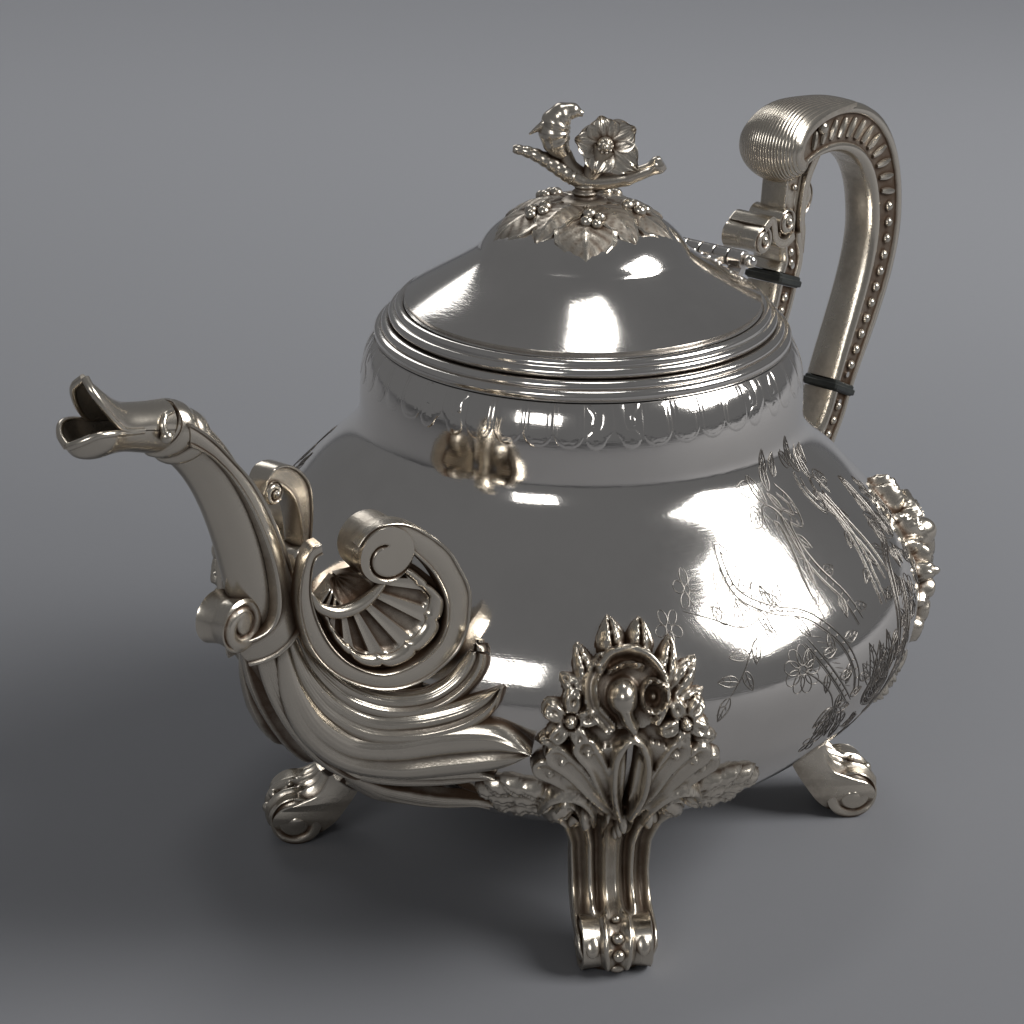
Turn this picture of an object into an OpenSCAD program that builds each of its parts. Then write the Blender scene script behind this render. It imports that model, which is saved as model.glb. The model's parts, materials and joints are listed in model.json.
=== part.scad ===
// Silver teapot on four scroll feet: hinged domed lid with a flower finial, cast beak spout
// and an insulated scroll handle. Millimetres, +Z up, origin on the table under the body's axis,
// spout towards -X, handle towards +X. "left" is the -Y side, "right" the +Y side.

/* [Body] */
// Largest radius of the pear-shaped body
belly_r = 83.8; // [80:0.2:88]
// Height of the belly's widest line above the table
belly_z = 68; // [64:0.5:72]
// Radius of the flat bottom
base_r = 19; // [15:0.5:24]
// Height of the flat bottom above the table
base_z = 11.2; // [9:0.2:14]
// Radius of the neck below the engraved border
neck_r = 53.3; // [51:0.1:56]
// Height of the neck's narrowest line
neck_z = 114.5; // [112:0.5:116]
// Outer radius of the body's top edge
brim_r = 49.4; // [48:0.1:51]
// Height of the body's top edge
brim_z = 130.8; // [129:0.1:133]
// Thickness of the raised silver sheet
wall = 1.1; // [0.8:0.1:1.6]
// Radius of the mouth through the collar
mouth_r = 40.5; // [38:0.1:42]
// Diameter of a strainer hole at the spout
strainer_d = 3; // [2.4:0.1:3.6]

/* [Lid] */
// Height of the dome's top above the collar's seat
dome_h = 26.2; // [23:0.2:30]
// Radius at which the dome meets the hollow flange
dome_r = 24; // [21:0.5:28]
// Depth of the lid's locating ring below the seat
plug_h = 4.2; // [3:0.1:5]
// Clearance of the locating ring in the mouth, on the radius
plug_gap = 0.7; // [0.5:0.1:1]
// Thickness of the lid's sheet
lid_wall = 1; // [0.8:0.1:1.4]

/* [Hinge] */
// Radius of the hinge barrel
barrel_r = 2.3; // [2.1:0.1:2.6]
// Diameter of the hinge pin
pin_d = 2; // [1.8:0.1:2.2]
// Running clearance of the pin in the lid's knuckles, on the radius
pin_gap = 0.06; // [0.03:0.01:0.1]
// Length of one knuckle
knuckle_l = 4; // [3.4:0.1:4.4]
// Gap between knuckles
knuckle_gap = 0.3; // [0.2:0.05:0.5]

/* [Spout] */
// Half width of the spout's tube at its middle
tube_w = 5.6; // [5:0.1:6.4]
// Half depth of the spout's tube at its middle
tube_d = 6; // [5.4:0.1:6.6]
// Wall of the cast spout
spout_wall = 1.2; // [1:0.1:1.5]
// Distance of the spout's tip from the body's axis
spout_reach = 158; // [154:0.5:162]

/* [Handle] */
// Thickness of the handle from side to side
handle_t = 10.4; // [9:0.2:12]
// Half width of the handle at its widest, seen from the side
handle_w = 8; // [7:0.1:9]
// Half width of the handle at its insulators
handle_end_w = 5.4; // [4.8:0.1:6]
// Depth of the beaded channel in each side
channel_d = 1; // [0.6:0.1:1.4]
// Thickness of an insulator between the silver ends
insulator_t = 2.9; // [2.4:0.1:3.6]
// Side of an insulator's square tenon
tenon_s = 5.6; // [5:0.1:6.4]
// Length of a tenon
tenon_l = 5; // [4:0.2:6]
// Diameter of an insulator pin
rivet_d = 1.6; // [1.2:0.1:2]

/* [Feet] */
// Radius of the circle through the feet's volutes
foot_r = 71.6; // [70:0.2:73]
// Outer radius of a foot's volute
volute_r = 6.6; // [6:0.1:7]
// Width of a foot
foot_w = 17.5; // [14:0.5:18]

/* [Hidden] */
$fn = 72;

silver = [0.80, 0.79, 0.77];
cast_silver = [0.72, 0.69, 0.63];
bright_silver = [0.88, 0.88, 0.87];
ebonite = [0.10, 0.12, 0.10];

seat_gap = 0.1;                       // between soldered pieces
lid_gap = 0.25;                       // between the lid and the collar's seat
ring_r = 1.35;                        // collar's two moulded rings
lid_ring_r = 1.2;                     // bezel's two moulded rings
seat_z = brim_z + 4.2;                // top of the collar, where the lid closes
lid_z = seat_z + lid_gap;             // underside of the bezel
flange_z = lid_z + 3.8;               // where the dome's flange starts
flange_r = brim_r - 6.8;
dome_z = seat_z + dome_h;             // top of the dome
hinge_x = brim_r + 3.6;               // hinge axis
hinge_z = seat_z + 3.8;
foot_angles = [225, 135, 315, 45];    // spout left, spout right, handle left, handle right

// ---- curves -------------------------------------------------------------------------------

// Point at t on a cubic curve with four control points
function bezier(c, t) =
    pow(1 - t, 3) * c[0] + 3 * t * pow(1 - t, 2) * c[1] + 3 * t * t * (1 - t) * c[2]
    + pow(t, 3) * c[3];

// Points along a cubic curve, leaving out the first when it repeats the curve before
function curve(c, steps, first = 0) = [for (i = [first:steps]) bezier(c, i / steps)];

function unit(v) = v / norm(v);
function normal_2d(v) = [v[1], -v[0]];

// Unit tangent of a path at its point i
function tangent(path, i) =
    unit(path[min(i + 1, len(path) - 1)] - path[max(i - 1, 0)]);

// Path moved sideways by d, or by d[i] at its point i
function beside(path, d) = [
    for (i = [0:len(path) - 1])
        path[i] + normal_2d(tangent(path, i)) * (is_list(d) ? d[i] : d)
];

function reverse(list) = [for (i = [len(list) - 1:-1:0]) list[i]];
function total(list) = [for (p = list) 1] * list;
function middle(list) = total(list) / len(list);

// Area of a ring of points as a vector square to it
function ring_area(ring) = let (n = len(ring), c = middle(ring))
    total([for (k = [0:n - 1]) cross(ring[k] - c, ring[(k + 1) % n] - c)]);

// Faces turned over when flip is true
function facing(faces, flip) = flip ? [for (f = faces) reverse(f)] : faces;

// Flat ribbon of half width w along a path
module ribbon_2d(path, w) {
    half = is_list(w) ? w : [for (p = path) w];
    polygon(concat(beside(path, half), reverse(beside(path, -half))));
}

// Closed solid through rings of equally many points, or a tube when bores is given
module loft(rings, bores = []) {
    n = len(rings[0]);
    m = len(rings);
    tube = len(bores) > 0;
    points = [for (ring = concat(rings, bores)) each ring];
    outer = [
        for (i = [0:m - 2], k = [0:n - 1]) let (j = (k + 1) % n)
            each [[i * n + k, (i + 1) * n + k, (i + 1) * n + j],
                  [i * n + k, (i + 1) * n + j, i * n + j]]
    ];
    inner = tube ? [
        for (i = [0:m - 2], k = [0:n - 1]) let (j = (k + 1) % n, b = m * n)
            each [[b + i * n + k, b + (i + 1) * n + j, b + (i + 1) * n + k],
                  [b + i * n + k, b + i * n + j, b + (i + 1) * n + j]]
    ] : [];
    end = (m - 1) * n;
    caps = tube ? [
        for (k = [0:n - 1]) let (j = (k + 1) % n, b = m * n)
            each [[k, j, b + j], [k, b + j, b + k],
                  [end + k, b + end + j, end + j], [end + k, b + end + k, b + end + j]]
    ] : [
        for (k = [1:n - 2]) each [[0, k, k + 1], [end, end + k + 1, end + k]]
    ];
    flip = ring_area(rings[0]) * (middle(rings[1]) - middle(rings[0])) < 0;
    polyhedron(points, facing(concat(outer, inner, caps), flip));
}

// Sheet between an outer and an inner grid of points, closed along its edges
module sheet(top, bottom) {
    rows = len(top);
    cols = len(top[0]);
    points = [for (row = concat(top, bottom)) each row];
    b = rows * cols;
    faces = concat(
        [for (i = [0:rows - 2], k = [0:cols - 2]) let (p = i * cols + k, q = p + cols)
            each [[p, p + 1, q + 1], [p, q + 1, q],
                  [b + p, b + q + 1, b + p + 1], [b + p, b + q, b + q + 1]]],
        [for (i = [0:rows - 2]) let (p = i * cols, q = p + cols, r = p + cols - 1, s = r + cols)
            each [[p, q, b + q], [p, b + q, b + p], [r, b + s, s], [r, b + r, b + s]]],
        [for (k = [0:cols - 2]) let (p = (rows - 1) * cols + k)
            each [[k, b + k + 1, k + 1], [k, b + k, b + k + 1],
                  [p, p + 1, b + p + 1], [p, b + p + 1, b + p]]]
    );
    i = floor(rows / 2);
    k = floor(cols / 2);
    flip = cross(top[i][k + 1] - top[i][k], top[i + 1][k] - top[i][k])
        * (top[i][k] - bottom[i][k]) > 0;
    polyhedron(points, facing(faces, flip));
}

// Places children's XY plane upright: local x along (cos phi, sin phi), local y along +Z
module upright(origin, phi) {
    translate(origin) rotate([90, 0, phi]) children();
}

// ---- body ---------------------------------------------------------------------------------

body_outline = concat(
    [[0, base_z]],
    curve([[base_r, base_z], [base_r + 31, base_z + 10.8], [belly_r, belly_z - 23],
           [belly_r, belly_z]], 12),
    curve([[belly_r, belly_z], [belly_r, belly_z + 12], [belly_r - 9.8, belly_z + 20.5],
           [belly_r - 17.3, belly_z + 28.5]], 8, 1),
    curve([[belly_r - 17.3, belly_z + 28.5], [belly_r - 23.3, belly_z + 34.9],
           [neck_r, neck_z - 7.5], [neck_r, neck_z]], 8, 1),
    curve([[neck_r, neck_z], [neck_r, neck_z + 6], [brim_r + 3.4, brim_z - 3.6],
           [brim_r, brim_z]], 6, 1)
);

// Outline of the body from its bottom's edge to its brim, moved outwards by d
side_outline = [for (i = [1:len(body_outline) - 1]) body_outline[i]];
function body_skin(d) = beside(side_outline, d);

// Radius of the body at height z
function body_r(z) = lookup(z, [for (p = side_outline) [p[1], p[0]]]);

// Point on the body at the side offset y and height z, d outwards, on the spout's side
function on_body(y, z, d) =
    let (r = body_r(z) + d) [-sqrt(max(r * r - y * y, 1)), y, z];

// The body as if solid, grown by d, for seating what is soldered to it
module body_core(d) {
    skin = body_skin(d);
    rotate_extrude() polygon(concat(
        [[0, base_z - d]], [[base_r, base_z - d]], skin, [[0, skin[len(skin) - 1][1]]]));
}

// Skin of the body between two heights, from d0 to d1 outside its surface
module body_band(z0, z1, d0, d1) {
    part = [for (i = [0:len(side_outline) - 1])
        if (side_outline[i][1] > z0 && side_outline[i][1] < z1) i];
    inner = body_skin(d0);
    outer = body_skin(d1);
    rotate_extrude() polygon(concat(
        [for (i = part) outer[i]], reverse([for (i = part) inner[i]])));
}

strainer_z = 72;                      // middle of the strainer
strainer_pitch = strainer_d * 1.7;

module body_shell() {
    inner = beside(side_outline, -wall);
    color(bright_silver) difference() {
        rotate_extrude() polygon(concat(
            body_outline,
            reverse([for (p = inner) [p[0], min(max(p[1], base_z + wall), brim_z)]]),
            [[0, base_z + wall]]));
        for (row = [-2:2]) {
            count = 5 - abs(row);
            for (k = [0:count - 1])
                translate([-belly_r - 4, (k - (count - 1) / 2) * strainer_pitch,
                           strainer_z + row * strainer_pitch * 0.866])
                    rotate([0, 90, 0]) cylinder(d = strainer_d, h = 16, $fn = 24);
        }
    }
}

// Ring of round section turned about the axis
module bead_ring(r, z, section) {
    rotate_extrude() translate([r, z]) circle(r = section, $fn = 32);
}

collar_rings = [[brim_r - 1.05, brim_z + 1.45], [brim_r - 2.7, brim_z + 3.15]];
bezel_rings = [[brim_r - 4.35, lid_z + lid_ring_r], [brim_r - 5.85, lid_z + lid_ring_r + 1.6]];

module mouth_collar() {
    low = brim_z + seat_gap;
    color(bright_silver) union() {
        rotate_extrude() polygon([
            [mouth_r, low - 2.6], [mouth_r, seat_z], [brim_r - 3.2, seat_z],
            collar_rings[1], collar_rings[0], [brim_r - 0.6, low], [mouth_r + 1.2, low],
            [mouth_r + 1.2, low - 2.6]
        ]);
        for (ring = collar_rings) bead_ring(ring[0], ring[1], ring_r);
    }
}

// ---- lid ----------------------------------------------------------------------------------

module lid_bezel() {
    plug_r = mouth_r - plug_gap;
    color(bright_silver) union() {
        rotate_extrude() polygon([
            [plug_r - 1.2, seat_z - plug_h], [plug_r - 1.2, lid_z + 1.4],
            [flange_r - 2.4, flange_z - 0.1], [flange_r, flange_z - 0.1],
            bezel_rings[1], bezel_rings[0], [brim_r - 4.2, lid_z], [plug_r, lid_z],
            [plug_r, seat_z - plug_h]
        ]);
        for (ring = bezel_rings) bead_ring(ring[0], ring[1], lid_ring_r);
    }
}

dome_outline = concat(
    curve([[flange_r, flange_z], [dome_r + 12.5, flange_z + 4], [dome_r + 4, dome_z - 14],
           [dome_r, dome_z - 10]], 8),
    curve([[dome_r, dome_z - 10], [dome_r - 2.5, dome_z - 3.6], [dome_r / 2, dome_z],
           [0, dome_z]], 10, 1)
);

// The dome as if solid, grown by d
module dome_core(d) {
    rotate_extrude() polygon(concat([[0, lid_z]], [[flange_r + d, lid_z]],
                                    beside(dome_outline, d)));
}

function dome_at(r) = lookup(r, [for (p = reverse(dome_outline)) [p[0], p[1]]]);

module lid_dome() {
    inner = beside(dome_outline, -lid_wall);
    color(bright_silver) difference() {
        rotate_extrude() polygon(concat(
            dome_outline,
            reverse([for (p = inner) [max(p[0], 0), max(p[1], flange_z)]])));
        translate([0, 0, dome_z - 6]) cylinder(d = stud_d + 0.1, h = 10, $fn = 32);
    }
}

knuckles = [-2:2];                    // even ones are the bracket's, odd ones the leaf's
function knuckle_y(k) = k * (knuckle_l + knuckle_gap) - knuckle_l / 2;
barrel_half = 2.5 * knuckle_l + 2 * knuckle_gap;

// Profile in XZ swept along Y from y by length l
module along_y(y, l) {
    translate([0, y + l, 0]) rotate([90, 0, 0]) linear_extrude(l) children();
}

// Fan-shaped leaf lying on the lid's flange, with its two knuckles
module hinge_leaf() {
    leaf_t = 1.2;
    top = beside(dome_outline, leaf_t);
    foot = beside(dome_outline, seat_gap);
    color(silver) difference() {
        union() {
            intersection() {
                rotate_extrude() polygon(concat(
                    [for (i = [0:11]) top[i]], reverse([for (i = [0:11]) foot[i]])));
                linear_extrude(dome_z) union() {
                    polygon([[20, -3.2], [30, -5.5], [flange_r, -12.5], [flange_r, 12.5],
                             [30, 5.5], [20, 3.2]]);
                    for (side = [-1, 1]) translate([37, side * 9.5]) circle(r = 4, $fn = 24);
                }
            }
            intersection() {
                rotate_extrude() translate([dome_r + 8, 0]) polygon([
                    [-2.2, dome_at(dome_r + 8)], [0, dome_at(dome_r + 8) + 2.2],
                    [2.2, dome_at(dome_r + 8)]]);
                translate([20, -6, 0]) cube([20, 12, dome_z]);
            }
            for (k = knuckles) if (abs(k) % 2 == 1) {
                along_y(knuckle_y(k), knuckle_l) polygon([
                    [flange_r - 3, flange_z + 1.2], [flange_r + 1, flange_z + 1.9],
                    [hinge_x, hinge_z + barrel_r - 0.2], [hinge_x, hinge_z],
                    [flange_r + 2.4, flange_z - 0.1], [flange_r - 0.5, flange_z + 0.6]]);
                along_y(knuckle_y(k), knuckle_l)
                    translate([hinge_x, hinge_z]) circle(r = barrel_r, $fn = 32);
            }
        }
        translate([hinge_x, -barrel_half - 1, hinge_z]) rotate([-90, 0, 0])
            cylinder(d = pin_d + 2 * pin_gap, h = 2 * barrel_half + 2, $fn = 32);
        dome_core(seat_gap);
        for (ring = bezel_rings) bead_ring(ring[0], ring[1], lid_ring_r + seat_gap);
    }
}

// Bracket soldered to the collar, with the three knuckles that hold the pin
module hinge_bracket() {
    foot_z = brim_z + seat_gap + 0.3;
    color(silver) difference() {
        union() {
            for (k = knuckles) if (abs(k) % 2 == 0) {
                along_y(knuckle_y(k), knuckle_l) polygon([
                    [brim_r - 0.9, foot_z], [hinge_x - 0.6, foot_z - 0.3],
                    [hinge_x + barrel_r - 0.1, hinge_z], [hinge_x - barrel_r + 0.1, hinge_z],
                    [hinge_x - barrel_r + 0.1, hinge_z - 2.4], [brim_r - 1.4, foot_z + 2.4]]);
                along_y(knuckle_y(k), knuckle_l)
                    translate([hinge_x, hinge_z]) circle(r = barrel_r, $fn = 32);
            }
            intersection() {
                rotate_extrude() polygon([
                    [brim_r - 0.3, foot_z - 0.2], [brim_r + 2, foot_z - 0.2],
                    [brim_r + 2.4, foot_z + 1.4], [brim_r + 0.2, foot_z + 2.6]]);
                translate([brim_r / 2, -18, foot_z - 1]) cube([brim_r, 36, 8]);
            }
        }
        translate([hinge_x, -barrel_half - 1, hinge_z]) rotate([-90, 0, 0])
            cylinder(d = pin_d + 0.04, h = 2 * barrel_half + 2, $fn = 32);
        for (ring = collar_rings) bead_ring(ring[0], ring[1], ring_r + seat_gap);
    }
}

module hinge_pin() {
    ball_r = 1.7;
    color(silver) union() {
        translate([hinge_x, -barrel_half - 0.4, hinge_z]) rotate([-90, 0, 0])
            cylinder(d = pin_d, h = 2 * barrel_half + 0.8, $fn = 32);
        for (side = [-1, 1])
            translate([hinge_x, side * (barrel_half + ball_r), hinge_z])
                sphere(r = ball_r, $fn = 24);
    }
}

// ---- finial -------------------------------------------------------------------------------

stud_d = 3;
rosette_z = dome_z + seat_gap;

// Leaf with lobes, drooping over the dome: sheet from the middle to the tip
module rosette_leaf(length, width, droop) {
    rows = 8;
    cols = 8;
    lobe = [0.16, 0.55, 0.82, 0.74, 0.98, 0.86, 0.66, 0.36, 0.04];
    grid = function (t) [
        for (i = [0:rows]) let (u = i / rows)
            [for (k = [0:cols]) let (
                v = 2 * k / cols - 1,
                x = 2.5 + u * (length - 2.5) * (1 - 0.16 * v * v),
                y = v * lobe[i] * width / 2,
                own = 1.5 - droop * pow(x / length, 2.2) + 0.9 * abs(v) * sin(180 * u),
                z = max(own, dome_at(norm([x, y])) - rosette_z + 0.35) + (k % 2) * 0.25
            ) [x, y, z + t]]
    ];
    sheet(grid(1.3), grid(0));
}

module finial_rosette() {
    berry_r = 1.7;
    color(cast_silver) translate([0, 0, rosette_z]) difference() {
        union() {
            cylinder(r1 = 5.6, r2 = 4.4, h = 2.9, $fn = 36);
            for (k = [0:4]) rotate([0, 0, 218 + 72 * k])
                rosette_leaf(19.5 + 2.5 * (k % 2), 14, 7.4);
            for (k = [0:4]) rotate([0, 0, 254 + 72 * k])
                for (j = [0:2])
                    translate([9.5 + 2.6 * (j % 2), (j - 1) * 2.7, 1.2])
                        sphere(r = berry_r, $fn = 24);
        }
        translate([0, 0, -3]) cylinder(d = stud_d + 0.1, h = 12, $fn = 32);
    }
}

// Bent rod of round section along a path in XZ, with a radius at each point
module rod(path, radii) {
    n = 12;
    loft([for (i = [0:len(path) - 1]) let (
        way = tangent(path, i),
        side = [-way[1], way[0]]
    ) [for (k = [0:n - 1]) let (
        a = 360 * k / n,
        p = path[i] + radii[i] * cos(a) * side
    ) [p[0], radii[i] * sin(a), p[1]]]]);
}

// Turns the finial so its spread faces the spout's left
module finial_frame() {
    translate([0, 0, rosette_z]) rotate([0, 0, 308]) children();
}

module finial_stem() {
    twigs = concat(
        curve([[-17, 14.4], [-10, 13.8], [-5, 8.4], [0, 7]], 7),
        curve([[0, 7], [5, 6.4], [12, 7.8], [18, 11.6]], 7, 1)
    );
    radii = [0.7, 1.1, 1.4, 1.7, 1.9, 2, 2.2, 2.5, 2.2, 1.9, 1.7, 1.5, 1.3, 1.2, 1.4];
    color(cast_silver) finial_frame() union() {
        difference() {
            translate([0, 0, 3.15]) cylinder(r1 = 3, r2 = 2.3, h = 3.4, $fn = 24);
            cylinder(d = stud_d + 0.1, h = 4.3, $fn = 32);
        }
        rod(twigs, radii);
    }
}

// Petal in XZ from the origin at angle a, facing -Y, cupped and notched
module petal(a, length, width) {
    rows = 5;
    cols = 6;
    grid = function (t) [for (i = [0:rows]) [for (k = [0:cols]) let (
        u = i / rows,
        v = 2 * k / cols - 1,
        w = width / 2 * (0.3 + 0.95 * sin(135 * u)) * (u == 1 ? 0.86 : 1),
        x = length * u * (1 - 0.14 * v * v) + 0.6,
        y = v * w
    ) [x * cos(a) - y * sin(a), t - 1.6 * sin(110 * u) + 0.8 * abs(v), x * sin(a) + y * cos(a)]]];
    sheet(grid(0), grid(1.1));
}

module finial_flower() {
    petals = [[172, 7.2, 7.6], [250, 7.6, 7.4], [322, 9.6, 8.2], [28, 8, 8], [100, 6.6, 7.6]];
    color(cast_silver) finial_frame() translate([4.4, -1.6, 16.2]) rotate([-14, 0, 0]) union() {
        for (p = petals) petal(p[0], p[1], p[2]);
        sphere(r = 2, $fn = 24);
    }
}

module finial_bud() {
    body = curve([[-5.4, 13.9], [-8.4, 17.5], [-6, 24], [-0.8, 22.9]], 7);
    sepal = curve([[-6.8, 19.4], [-9, 20.6], [-11, 19.4], [-13.2, 18.2]], 4);
    color(cast_silver) finial_frame() union() {
        rod(body, [1.7, 2.9, 3.6, 3.7, 3.4, 2.7, 1.8, 0.8]);
        rod(sepal, [1.2, 1.9, 1.9, 1.4, 0.4]);
    }
}

module finial_stud() {
    color(silver) translate([0, 0, dome_z - 7.5]) cylinder(d = stud_d, h = 11.4, $fn = 32);
}

module finial_nut() {
    nut_z = dome_z - lid_wall - 0.1 - 2.6;
    color(silver) difference() {
        translate([0, 0, nut_z]) cylinder(r = 4.2, h = 2.4, $fn = 6);
        translate([0, 0, nut_z - 1]) cylinder(d = stud_d + 0.04, h = 5, $fn = 32);
    }
}

// ---- spout --------------------------------------------------------------------------------

root_z = 68;                          // middle of the spout's root on the body
throat_x = -113;                      // where the root curve meets the upper curve
throat_z = 97;
beak_z = 148.2;                       // where the tube opens into the beak
tube_gap = 0.25;                      // between the tube and what is soldered on it

// Middle of the tube in XZ at s: 0 at the body, 1 at the throat, 2 at the beak
function spine(s) = s < 1
    ? bezier([[-80, root_z], [-90, root_z], [throat_x + 6, throat_z - 19],
              [throat_x, throat_z]], s)
    : bezier([[throat_x, throat_z], [throat_x - 4.5, throat_z + 15], [throat_x - 8, beak_z - 10],
              [17 - spout_reach, beak_z]], s - 1);
function spine_way(s) = let (e = 0.01)
    unit(spine(min(s + e, 2)) - spine(max(s - e, 0)));

// Half width and half depth of the tube at s
function tube_half_w(s) = tube_w * (s < 1 ? 1 + 2.5 * pow(1 - s, 2.2) : 1 - 0.12 * (s - 1));
function tube_half_d(s) = tube_d * (s < 1 ? 1 + 1.7 * pow(1 - s, 2.4) : 1 - 0.12 * (s - 1));

// Lines the beak's upper and lower lips follow from the tube's end
tip = [-spout_reach, beak_z];
upper_lip = [spine(2), tip + [10, 3], tip + [8, 3.5], tip + [1.5, 10.5]];
lower_lip = [spine(2), tip + [12, 1.6], tip + [7, 2.4], tip + [-1, 2]];

// Point out from the spout's surface at s and angle a: 0 on the right, 90 on the ridge,
// 180 on the left, 270 on the keel, which is narrower than the ridge. From s = 2 to 3 the
// ridge side follows the upper lip and the keel side the lower one.
function tube_point(s, a, out) = let (
    beak = max(s - 2, 0),
    lip = sin(a) > 0 ? upper_lip : lower_lip,
    t = beak * (0.1 + 0.9 * pow(abs(sin(a)), 0.7)),
    way = beak > 0 ? unit(bezier(lip, min(t + 0.01, 1)) - bezier(lip, max(t - 0.01, 0)))
        : spine_way(s),
    ridge = [way[1], -way[0]],
    up = (tube_half_d(min(s, 2)) + out) * (1 - 0.35 * beak) * sin(a),
    y = (tube_half_w(min(s, 2)) + out) * (1 - 0.3 * pow(beak, 3) * abs(sin(a))) * cos(a)
        * (1 + 0.2 * sin(a)),
    p = (beak > 0 ? bezier(lip, t) : spine(s)) + up * ridge
) s == 0 ? on_body(y, root_z + up, 3 * seat_gap) : [p[0], y, p[1]];

function tube_ring(s, out, n = 24) = [for (k = [0:n - 1]) tube_point(s, 360 * k / n, out)];

module spout() {
    stations = [for (i = [0:25]) i < 19 ? i / 9 : 2 + (i - 18) / 7];
    color(cast_silver)
        loft([for (s = stations) tube_ring(s, 0)], [for (s = stations) tube_ring(s, -spout_wall)]);
}

// Moulded band round the tube behind the beak
module spout_collar() {
    at = 1.86;
    band = [for (k = [-2:2]) [at + 0.018 * k, 1.5 - 0.35 * abs(k)]];
    color(cast_silver)
        loft([for (b = band) tube_ring(b[0], tube_gap + b[1])],
             [for (b = band) tube_ring(b[0], tube_gap)]);
}

// Ribbon lying along the tube, with raised edges: middle angle and half width in degrees
// at each s of the list
module tube_ribbon(stations, high, edge) {
    profile = [[-1, 0], [-1, 1], [-0.7, 1], [-0.5, 0.62], [0.5, 0.62], [0.7, 1], [1, 1],
               [1, 0], [0.34, 0], [-0.34, 0]];
    loft([for (st = stations) [for (q = profile)
        tube_point(st[0], st[1] - q[0] * st[2], tube_gap + q[1] * (high + edge * abs(q[0])))]]);
}

// Left side's ribbon: down from the collar, back along the flank and under to the keel
module spout_ribbon() {
    steps = 14;
    route = curve([[1.78, 184], [1.45, 150], [1.1, 140], [0.94, 198]], steps);
    tube_ribbon([for (i = [0:steps]) [route[i][0], route[i][1], 17 + 13 * sin(180 * i / steps)]],
                1.9, 0.5);
}

module spout_ribbon_left() { color(cast_silver) spout_ribbon(); }
module spout_ribbon_right() { color(cast_silver) mirror([0, 1, 0]) spout_ribbon(); }

// Roll across the keel that both ribbons curl round, with an eye at each end
module spout_volute() {
    roll_r = 4.2;
    keel = tube_point(1.02, 270, roll_r + tube_gap);
    color(cast_silver) translate([keel[0], 0, keel[2]]) rotate([90, 0, 0]) union() {
        translate([0, 0, -3.4]) cylinder(r = roll_r, h = 6.8, $fn = 36);
        translate([0, 0, -4.2]) cylinder(r = 2.2, h = 8.4, $fn = 24);
        for (side = [-1, 1]) bead_ring(3.5, 3.3 * side, 0.65);
    }
}

// Point in XZ out from the tube's ridge at s
function off_ridge(s, out) = let (way = spine_way(s))
    spine(s) + (tube_half_d(s) + out) * [way[1], -way[0]];

// Openwork strut standing off the spout's ridge, with a volute on the tube at each end
module spout_ridge_scroll() {
    top_r = 2.5;
    foot_r = 3;
    top = off_ridge(1.52, top_r + tube_gap);
    foot = off_ridge(0.98, foot_r + tube_gap);
    line = curve([top + [0.4, 1.6], top + [7, 0], foot + [4.6, 12], foot + [1.8, 0.6]], 10);
    color(cast_silver) along_y(-2.4, 4.8) union() {
        ribbon_2d(line, [for (i = [0:10]) 1 + 1.1 * sin(18 * i)]);
        translate(top) circle(r = top_r, $fn = 32);
        translate(foot) circle(r = foot_r, $fn = 32);
    }
}

// Openwork C-scroll beside the throat, in the plane it stands in
scroll_phi = -22;
scroll_origin = [-72, -26.6, 0];
scroll_t = 4.4;
scroll_line = concat(
    curve([[-27.5, 109.5], [-31, 117], [-40, 112], [-38.4, 98]], 6),
    curve([[-38.4, 98], [-37, 84], [-22, 74.5], [-11, 81]], 7, 1),
    curve([[-11, 81], [-1.5, 87], [-2, 106], [-17, 112]], 7, 1)
);
scroll_w = [for (i = [0:len(scroll_line) - 1]) 1.6 + 1.2 * sin(180 * i / (len(scroll_line) - 1))];

module c_scroll() {
    roll = [-21.5, 108];
    color(cast_silver) difference() {
        upright(scroll_origin, scroll_phi) union() {
            translate([0, 0, -scroll_t / 2]) linear_extrude(scroll_t) union() {
                ribbon_2d(scroll_line, scroll_w);
                translate(roll) circle(r = 5.6, $fn = 40);
            }
            linear_extrude(scroll_t / 2 + 0.7) ribbon_2d(scroll_line, 0.5 * scroll_w);
            translate(roll) cylinder(r = 3.4, h = scroll_t / 2 + 1.2, $fn = 32);
        }
        body_core(2 * seat_gap);
    }
}

module c_scroll_left() { c_scroll(); }
module c_scroll_right() { mirror([0, 1, 0]) c_scroll(); }

// Fluted scallop inside the C-scroll
module scallop_shell() {
    flutes = 9;
    per = 4;
    cols = flutes * per;
    rows = 4;
    hinge = [-29.5, 101.5];
    rim = [for (k = [0:cols]) let (
        at = 2 + (len(scroll_line) - 6) * k / cols,
        i = floor(at),
        p = scroll_line[i] + (at - i) * (scroll_line[i + 1] - scroll_line[i]),
        n = unit(hinge - p)
    ) p + 3.9 * n];
    grid = function (t) [for (r = [0:rows]) let (u = 0.16 + 0.84 * r / rows)
        [for (k = [0:cols]) let (p = hinge + u * (rim[k] - hinge))
            [p[0], p[1], t - 2.6 + 1.6 * sin(150 * u) + 0.8 * u * abs(sin(180 * k / per))]]];
    color(cast_silver) upright(scroll_origin, scroll_phi) sheet(grid(1.2), grid(0));
}

module scallop_shell_left() { scallop_shell(); }
module scallop_shell_right() { mirror([0, 1, 0]) scallop_shell(); }

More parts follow.
